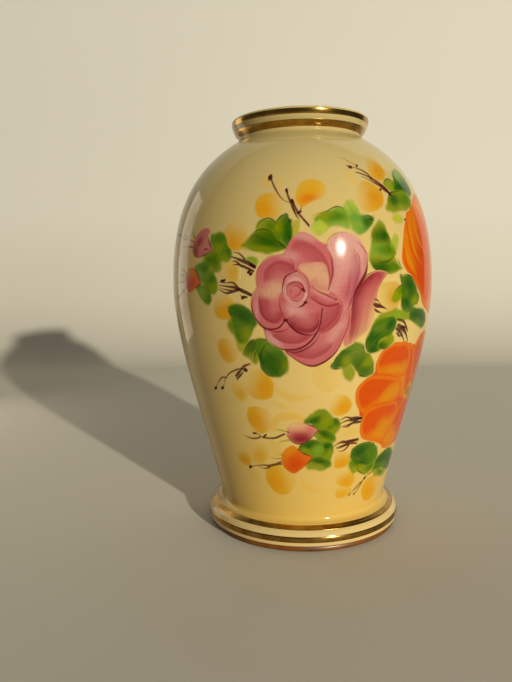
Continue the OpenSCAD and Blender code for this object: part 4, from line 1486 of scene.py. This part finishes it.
def high_bloom_far_petals(p):
    """The four petals of the upper flower that face right."""
    p.fill([(72, 200), (68, 188), (74, 175), (88, 163), (98, 154), (120, 150), (138, 156), (156, 174),
            (158, 196), (148, 216), (128, 222), (104, 224), (84, 216)], ORANGE_RED, 0.6)
    orange_petal(p, [(98, 157), (108, 150), (120, 148.6), (132, 152), (140, 160), (141, 170),
                     (132, 178), (118, 184), (106, 176), (98, 166)], 90, 270, root=HIGH_HEART)
    orange_petal(p, [(140, 162), (151, 166), (160, 176), (162, 188), (155, 198), (143, 201),
                     (128, 196), (120, 186), (130, 176)], 190, 10, root=HIGH_HEART)
    orange_petal(p, [(156, 198), (154, 210), (144, 220), (131, 224), (119, 219), (113, 207),
                     (118, 192), (134, 194), (146, 199)], 250, 70, root=HIGH_HEART)
    orange_petal(p, [(122, 222), (112, 226), (100, 225), (91, 219), (89, 208), (96, 196), (108, 188),
                     (119, 190), (124, 204)], 290, 110, root=HIGH_HEART)


def high_bloom_near_petal(p):
    """The petal that faces the rose, with its light and dark strokes."""
    near = orange_petal(p, [(79, 214), (75, 208), (71, 200), (68, 191), (66.8, 185), (69, 180),
                            (74, 174.7), (82, 170), (88, 163), (92, 157), (99, 156), (109, 165),
                            (117, 180), (118, 192), (108, 206), (96, 217),
                            (87, 218)], 330, 170, [((73.5, 198), (2.4, 9), 68)])
    p.blot((88, 190), (16, 30), ORANGE_DEEP, near, 0, 0.55)
    for path, width in (([(70.6, 196), (72.4, 187.5), (76.5, 181), (82.5, 174.6)], 2.2),
                        ([(79, 206), (78.4, 196), (82.5, 188), (90, 181)], 2.0),
                        ([(86, 212), (85.6, 202), (90, 194), (99, 188)], 2.2)):
        p.line(path, ORANGE_YELLOW, width, 0.4, 0.2, 0.8, soft=0.3)
    for path in ([(69, 190), (69.6, 185), (73.6, 178.4), (80, 172.4)],
                 [(76, 206), (76, 195), (80, 186.6), (87, 179.4)]):
        p.line(path, ORANGE_RED, 2.4, 0.5, 0.3, 0.8, soft=0.5)


def high_bloom_heart(p):
    """The heart of the upper flower."""
    flower_heart(p, [(111, 184), (113, 190), (119, 193), (125, 190), (126, 183), (120, 179),
                     (114, 180)],
                 HIGH_HEART, (4.4, 4), 16, (3.8, 1.3), 0.9)


def dabs_far_left(p):
    """Pale dabs and a twig round the left side."""
    p.spot((-92, 214), (11, 10), 160, OCHRE_PALE, strength=0.5)
    p.spot((-101, 197), (9, 9), 200, OCHRE_PALE, strength=0.45)
    p.spot((-86, 155), (10, 10), 120, OCHRE_PALE, strength=0.5)
    p.spot((-110, 160), (10, 9), 200, OCHRE_PALE, OCHRE, 0.7)
    p.spot((-118, 214), (11, 9), 160, OCHRE_PALE, OCHRE, 0.7)
    twigs(p, [([(-88, 199), (-100, 202), (-114, 204), (-130, 207)], 0.9, TWIG),
              ([(-104, 203), (-112, 199), (-120, 198)], 0.8, TWIG),
              ([(-88, 167), (-97, 163.4), (-106, 160)], 0.9, TWIG)])
    dots(p, [(-130.6, 207.2), (-120.6, 197.8)], 1.8)


# ---------------------------------------------------------------- dabs and twigs on the ground

def dabs_top(p):
    """Ochre dabs and a forked twig over the rose."""
    p.spot((-19, 215.5), (9.6, 8.6), 195)
    p.spot((-22, 231), (4, 5), 200, OCHRE_PALE, strength=0.5)
    p.spot((-13.5, 229), (2.6, 4.6), 0, OCHRE_PALE, strength=0.5)
    dab = p.fill([(-3, 222), (-1, 227.5), (4, 230.6), (9, 231.3), (14.5, 229.4), (17.4, 225),
                  (16, 221), (11, 218.6), (6, 216.6), (2, 214.8), (-1.6, 217)], OCHRE, 0.7, 0.95,
                 fade=((6, 221), (20, 214)), streak=0.2)
    p.blot((5, 220), (6, 3.6), OCHRE_RED, dab, 10, 0.9)
    p.blot((7, 226), (8, 4), OCHRE, dab, 0, 0.6)
    twigs(p, [([(-19.5, 231.4), (-17, 227), (-13.5, 222), (-9.5, 218.6), (-6.4, 217.4)], 0.9, TWIG),
              ([(-8.6, 225.4), (-7.5, 221.6), (-5.5, 217), (-2.6, 211), (0.4, 206)], 1.1, TWIG),
              ([(-4.8, 218.8), (-3.4, 215.6), (-1, 211.6), (3, 206.6), (8.8, 200.8)], 1.3, TWIG),
              ([(-5, 215.4), (-2.6, 210.6), (0.3, 206)], 0.9, TWIG_DARK),
              ([(8.8, 200.8), (5.6, 203.4), (2, 207)], 1.3, TWIG_DARK),
              ([(0.2, 212), (0.9, 214), (1.1, 216)], 0.5, TWIG)])
    twigs(p, [([(-8.7, 225.2), (-7.8, 222.8)], 1.5, TWIG_DARK),
              ([(-5, 218.8), (-3.6, 216)], 1.6, TWIG_DARK)])
    dots(p, [(-20.8, 233.2), (-20.3, 232)], 2.5)
    dots(p, [(-0.8, 211.4), (0.2, 211.8)], 1.5)


def dabs_left(p):
    """Ochre dabs and a twig at the lower left of the rose."""
    p.spot((-44, 106), (7.4, 7), 270, OCHRE_PALE, OCHRE, 0.75)
    p.spot((-28, 110), (10, 9.8), 330)
    twigs(p, [([(-37, 119.6), (-42, 119.4), (-49, 117.4), (-54, 113), (-57.5, 108.4), (-59.5, 106)],
               0.9, TWIG),
              ([(-54, 113), (-58.5, 112.4), (-62.5, 109.6), (-66, 105.6)], 0.8, TWIG)])
    twigs(p, [([(-45.2, 115), (-42, 117.6), (-39, 119.8)], 1.6, TWIG_DARK),
              ([(-45, 112.8), (-41, 116), (-37.6, 119.2)], 1.1, TWIG_DARK),
              ([(-40, 119.8), (-37, 122), (-33, 123.6), (-30.4, 124.8)], 1.4, TWIG)])
    dots(p, [(-67.6, 104.4), (-66.4, 104.9), (-60.2, 105.4), (-59.4, 106)], 1.9)
    dots(p, [(-37.4, 119.4), (-36.6, 118.6)], 1.7)


def dabs_low(p):
    """Ochre dabs, faint rings and twigs round the lower buds."""
    p.line([(-19, 110), (-13, 105.4), (-6, 102.8), (0, 102.4), (7, 104)], OCHRE_RING, 4.6, 0.3, 0.3,
           0.6, soft=1.2)
    p.line([(-21, 82), (-17, 88.6), (-9, 91), (-1, 90), (5, 86)], OCHRE_RING, 5.5, 0.7, 0.4, 0.7,
           soft=1.0)
    p.line([(-19, 100), (-14, 97.4), (-8, 96.4)], OCHRE_RING, 3, 0.4, 0.3, 0.5, soft=1.0)
    p.line([(-1, 48), (2.6, 43), (9, 39.6), (18, 38.6)], OCHRE_RING, 4.6, 0.4, 0.3, 0.6, soft=1.0)
    p.spot((-31, 87.5), (11, 8.8), 195)
    p.spot((-52.5, 59), (8.4, 5.4), 285, strength=0.85, tilt=-20)
    p.spot((-38, 64.5), (11, 8), 300, OCHRE_PALE, OCHRE, 0.7)
    p.spot((-18.5, 46.5), (14.2, 10.6), 205)
    p.spot((-43, 48), (6, 4.6), 270, OCHRE_PALE, strength=0.45)
    p.spot((-23, 68), (7, 6), 0, OCHRE_PALE, strength=0.5)
    twigs(p, [([(-11.8, 78.6), (-17, 76.8), (-23, 75.6), (-30, 75.4), (-35, 77.6), (-39, 78)], 1.1,
               TWIG_DARK),
              ([(-33, 75.4), (-38, 74), (-43, 74.2), (-49.4, 76)], 1.0, TWIG),
              ([(-30, 75.6), (-28.6, 76.6), (-27, 77.8)], 1.2, TWIG_DARK),
              ([(-15.6, 60), (-21, 57.6), (-27, 56), (-34, 55.8), (-40, 54.6), (-45, 53)], 1.1, TWIG),
              ([(-24, 57), (-28, 54.8), (-33, 53.4), (-38, 54.4)], 0.9, TWIG),
              ([(-16, 58), (-22, 56.8), (-29, 54.8)], 1.0, STEM_OLIVE)])
    dots(p, [(-47.4, 52.6), (-46, 53)], 1.9)
    dots(p, [(-38, 78), (-36.6, 77.8), (-28, 77)], 1.2)


def dabs_right(p):
    """Ochre dabs between the rose and the lower flower."""
    p.spot((18, 116.5), (11, 10.4), 200, OCHRE_PALE, strength=0.42)
    p.spot((27.5, 97), (8.6, 7), 320)
    p.spot((35, 78.5), (10, 3.6), 300, OCHRE_PALE, strength=0.4)


def twigs_right(p):
    """Wiry stems between the buds, the rose and the flowers."""
    twigs(p, [([(46.4, 87), (42, 88.2), (37, 88.4), (33, 89.4), (29.6, 87.8)], 1.6, TWIG_DARK),
              ([(45.6, 87.8), (40, 86.8), (34, 87), (28.8, 85)], 1.4, TWIG_DARK),
              ([(45.4, 85), (40, 85.2), (35.6, 84), (31, 83)], 1.4, TWIG_DARK),
              ([(38, 84.6), (35, 82.6), (31.6, 82.8)], 1.0, TWIG),
              ([(46.4, 72.8), (41, 72.6), (36, 72.4), (30, 71.6), (26, 69.6)], 1.5, TWIG_DARK),
              ([(46, 70.4), (41, 71), (36, 70.6), (31, 69.6), (28, 68)], 1.0, TWIG),
              ([(38, 71), (34.6, 70.2), (30, 68.2), (28, 68.4)], 1.3, TWIG_DARK),
              ([(38.6, 70), (36, 67.4), (32.6, 66), (30.4, 66.4)], 1.0, TWIG),
              ([(38, 72), (33, 73), (29, 71.6)], 0.8, TWIG)])
    twigs(p, [([(44, 161.4), (47, 160.8), (50, 158.4)], 0.9, TWIG),
              ([(44.6, 158.2), (49, 157.4), (55.4, 155.2)], 1.9, TWIG_DARK),
              ([(46, 157), (50.6, 156.8), (55, 155.6)], 1.2, TWIG),
              ([(45.4, 155.2), (48.6, 153.8), (52, 153)], 1.2, TWIG)])
    twigs(p, [([(64.4, 148.6), (69, 147.4), (73.6, 144.4), (77, 140.4)], 1.5, TWIG_DARK),
              ([(65.6, 144.8), (70, 142.6), (74.6, 139.4), (79.2, 134)], 2.1, TWIG_DARK),
              ([(64.4, 142.8), (68.6, 140.4), (72, 137.4), (75.2, 134)], 1.7, TWIG_DARK),
              ([(65.2, 140), (68.4, 138), (71.4, 138)], 1.3, TWIG),
              ([(70, 143.4), (74, 142.6), (76.6, 140)], 1.4, TWIG_DARK)])


def twigs_left(p):
    """Wiry stems between the left buds and the rose."""
    twigs(p, [([(-26.8, 181), (-30, 183), (-35, 184.6), (-40, 186.4), (-43, 187)], 1.8, TWIG_DARK),
              ([(-27.8, 178.6), (-32, 180.6), (-37, 182.4), (-42, 182.6)], 1.3, TWIG_DARK),
              ([(-33, 185.4), (-37, 188.6), (-41, 189.6)], 0.9, TWIG),
              ([(-35, 181.4), (-39, 184.2), (-42.4, 184.6)], 1.1, TWIG),
              ([(-29.2, 165), (-33, 167), (-38, 168.8), (-44, 169.6), (-51, 170.6)], 1.7, TWIG_DARK),
              ([(-36, 168.4), (-41, 171.8), (-46, 172), (-51, 172.6)], 1.0, TWIG),
              ([(-37, 168), (-42, 166.4), (-46, 165.8), (-51.6, 168)], 1.3, TWIG_DARK),
              ([(-32, 163.8), (-34.6, 164.2), (-36, 165)], 1.2, TWIG_DARK),
              ([(-41, 167.4), (-45, 167.6), (-51, 169)], 0.8, TWIG)])
    dots(p, [(-27.4, 181.4), (-29, 182.2), (-29.4, 176.8), (-30.6, 178), (-34.4, 163.6), (-49, 173.4),
             (-47.4, 173.4)], 1.9)


# ---------------------------------------------------------------- the painting as a whole

# Each motif: its level, the low and high corner of its sheet, the grid step, the seed of its
# random draws, and the functions that paint it, from what lies under to what lies over
MOTIFS = {
    "dabs_far_left": (0, (-150, 136), (-66, 232), 0.5, 151, [dabs_far_left]),
    "dabs_low": (0, (-64, 34), (24, 112), 0.42, 121, [dabs_low]),
    "dabs_left": (0, (-74, 96), (-10, 128), 0.38, 111, [dabs_left]),
    "dabs_right": (0, (4, 70), (48, 130), 0.42, 131, [dabs_right]),
    "dabs_top": (0, (-33, 198), (22, 240), 0.38, 101, [dabs_top]),
    "leaves_below_rose": (1, (-60, 106), (54, 172), 0.4, 31,
        [leaves_left_of_rose, leaves_under_apron, leaves_under_skirt]),
    "leaves_above_rose": (1, (-54, 174), (70, 221), 0.4, 21,
        [leaves_over_top_petal, leaves_over_sail, leaves_beside_sail]),
    "rose": (2, (-34, 119), (60, 205), 0.36, 11,
        [rose_base, rose_right, rose_sail, rose_top, rose_upper_left, rose_lower_left, rose_behind,
         rose_skirt, rose_apron, rose_bowl, rose_fold, rose_centre, rose_heart, rose_seams]),
    "orange_bloom_low": (1, (34, 56), (152, 142), 0.42, 91,
        [low_bloom_far_petals, low_bloom_near_petals, low_bloom_heart]),
    "orange_bloom_high": (1, (62, 146), (172, 236), 0.42, 95,
        [high_bloom_far_petals, high_bloom_near_petal, high_bloom_heart]),
    "leaves_right": (2, (36, 124), (110, 180), 0.4, 41,
        [leaves_beside_high_bloom, leaves_over_low_bloom]),
    "leaves_top_right": (2, (26, 202), (104, 250), 0.4, 51,
        [dabs_of_top_spray, leaves_of_top_spray, twigs_of_top_spray]),
    "leaves_low_right": (2, (26, 20), (118, 72), 0.4, 81,
        [dabs_of_low_spray, leaves_of_low_spray, twigs_of_low_spray]),
    "buds_left": (1, (-112, 148), (-36, 214), 0.4, 61,
        [dabs_of_left_buds, leaves_of_pink_left_bud, leaves_of_orange_left_bud, left_buds]),
    "buds_low": (1, (-34, 48), (34, 98), 0.4, 71,
        [leaves_of_pink_low_bud, leaves_of_orange_low_bud, low_buds]),
    "twigs_right": (TOP_LEVEL, (20, 62), (84, 166), 0.32, 132, [twigs_right]),
    "twigs_left": (TOP_LEVEL, (-56, 160), (-24, 192), 0.32, 141, [twigs_left]),
}


def painted(name):
    """The sheet of a motif with its paint."""
    _, low, high, step, seed, parts = MOTIFS[name]
    sheet = Sheet(low, high, step, seed)
    for part in parts:
        part(sheet)
    return sheet


# ---------------------------------------------------------------- stage, lights and camera

# Where the photo was taken from: metres, and angles down, to the left and round the view axis
CAMERA_AT = (0.0, -0.4452, 0.1797)
CAMERA_LENS = 32.74
PITCH, YAW, ROLL = math.radians(6.6), math.radians(4.17), math.radians(-0.83)
LOW_SUN = (1.0, 0.94, 0.74)


def build_stage():
    """A pale floor that curves up into a backdrop."""
    left, right, front, back, bend, top = -2.6, 1.1, -1.3, 0.85, 0.18, 2.2
    line = [(front, 0.0), (0.0, 0.0), (back - bend, 0.0)]
    for k in range(1, 25):
        a = math.radians(90 * k / 24)
        line.append((back - bend + bend * math.sin(a), bend - bend * math.cos(a)))
    line.append((back, top))
    points = [(x, y, z) for x in (left, right) for y, z in line]
    n = len(line)
    quads = [(i, n + i, n + i + 1, i + 1) for i in range(n - 1)]
    floor = mesh_object("floor", np.array(points), np.array(quads))
    floor.data.materials.append(stage_material())


def area_light(name, place, target, size, power, colour):
    """A round area light that faces a target."""
    data = bpy.data.lights.new(name, "AREA")
    data.shape = "DISK"
    data.size = size
    data.energy = power
    data.color = colour
    lamp = bpy.data.objects.new(name, data)
    lamp.location = place
    lamp.rotation_euler = (Vector(target) - Vector(place)).to_track_quat("-Z", "Y").to_euler()
    bpy.context.scene.collection.objects.link(lamp)
    return lamp


def build_lights():
    """A low warm key light with a soft halo, a faint overhead fill, a card at the left and a
    dim room."""
    middle = Vector((0, 0, 0.15))
    side, rise, far = math.radians(34), math.radians(14.4), 8.0
    key_at = middle + far * Vector((math.sin(side) * math.cos(rise), -math.cos(side) * math.cos(rise),
                                    math.sin(rise)))
    area_light("key", key_at, middle, 0.24, 690, LOW_SUN)
    area_light("key_glow", key_at, middle, 1.3, 40, LOW_SUN)
    area_light("overhead", (-0.3, -0.4, 2.5), (0, 0, 0), 3.0, 2.2, (0.95, 0.97, 1.0))
    card = area_light("left_card", (-0.52, 0.28, 0.2), (0, 0, 0.2), 0.2, 0.5, (1.0, 0.88, 0.7))
    card.data.shape = "RECTANGLE"
    card.data.size_y = 0.6
    world = bpy.data.worlds.new("studio")
    world.use_nodes = True
    room = world.node_tree.nodes["Background"]
    room.inputs["Color"].default_value = (1.0, 0.96, 0.9, 1.0)
    room.inputs["Strength"].default_value = 0.08
    bpy.context.scene.world = world
    bpy.context.scene.view_settings.view_transform = "Standard"


def build_camera():
    """A camera at the photo's viewing angle."""
    ahead = Vector((-math.sin(YAW) * math.cos(PITCH), math.cos(YAW) * math.cos(PITCH),
                    -math.sin(PITCH)))
    right = Vector((math.cos(YAW), math.sin(YAW), 0))
    up = right.cross(ahead)
    tilted_right = right * math.cos(ROLL) + up * math.sin(ROLL)
    tilted_up = up * math.cos(ROLL) - right * math.sin(ROLL)
    camera = bpy.data.objects.new("camera", bpy.data.cameras.new("camera"))
    camera.data.lens = CAMERA_LENS
    camera.data.sensor_width = 36.0
    camera.data.clip_start = 0.01
    turn = Matrix((tilted_right, tilted_up, -ahead)).transposed().to_4x4()
    camera.matrix_world = Matrix.Translation(CAMERA_AT) @ turn
    bpy.context.scene.collection.objects.link(camera)
    bpy.context.scene.camera = camera


build_camera()
build_stage()
build_lights()
build_body()
build_collar()
build_foot()
build_rim()
build_gilding()

for name, motif in MOTIFS.items():
    fuse(painted(name), "enamel_" + name, motif[0])

# The back repeats four of the motifs, moved half way round and partly mirrored
BACK = math.pi * BELLY_R
fuse(painted("dabs_top"), "enamel_back_dabs_top", shift=(BACK + 6, -14), mirror=True)
fuse(painted("buds_low"), "enamel_back_buds", 1, shift=(BACK + 8, 86), mirror=True)
fuse(painted("twigs_left"), "enamel_back_twigs", TOP_LEVEL, shift=(BACK + 84, -34))
fuse(painted("leaves_low_right"), "enamel_back_leaves", 1, shift=(BACK - 62, 74))
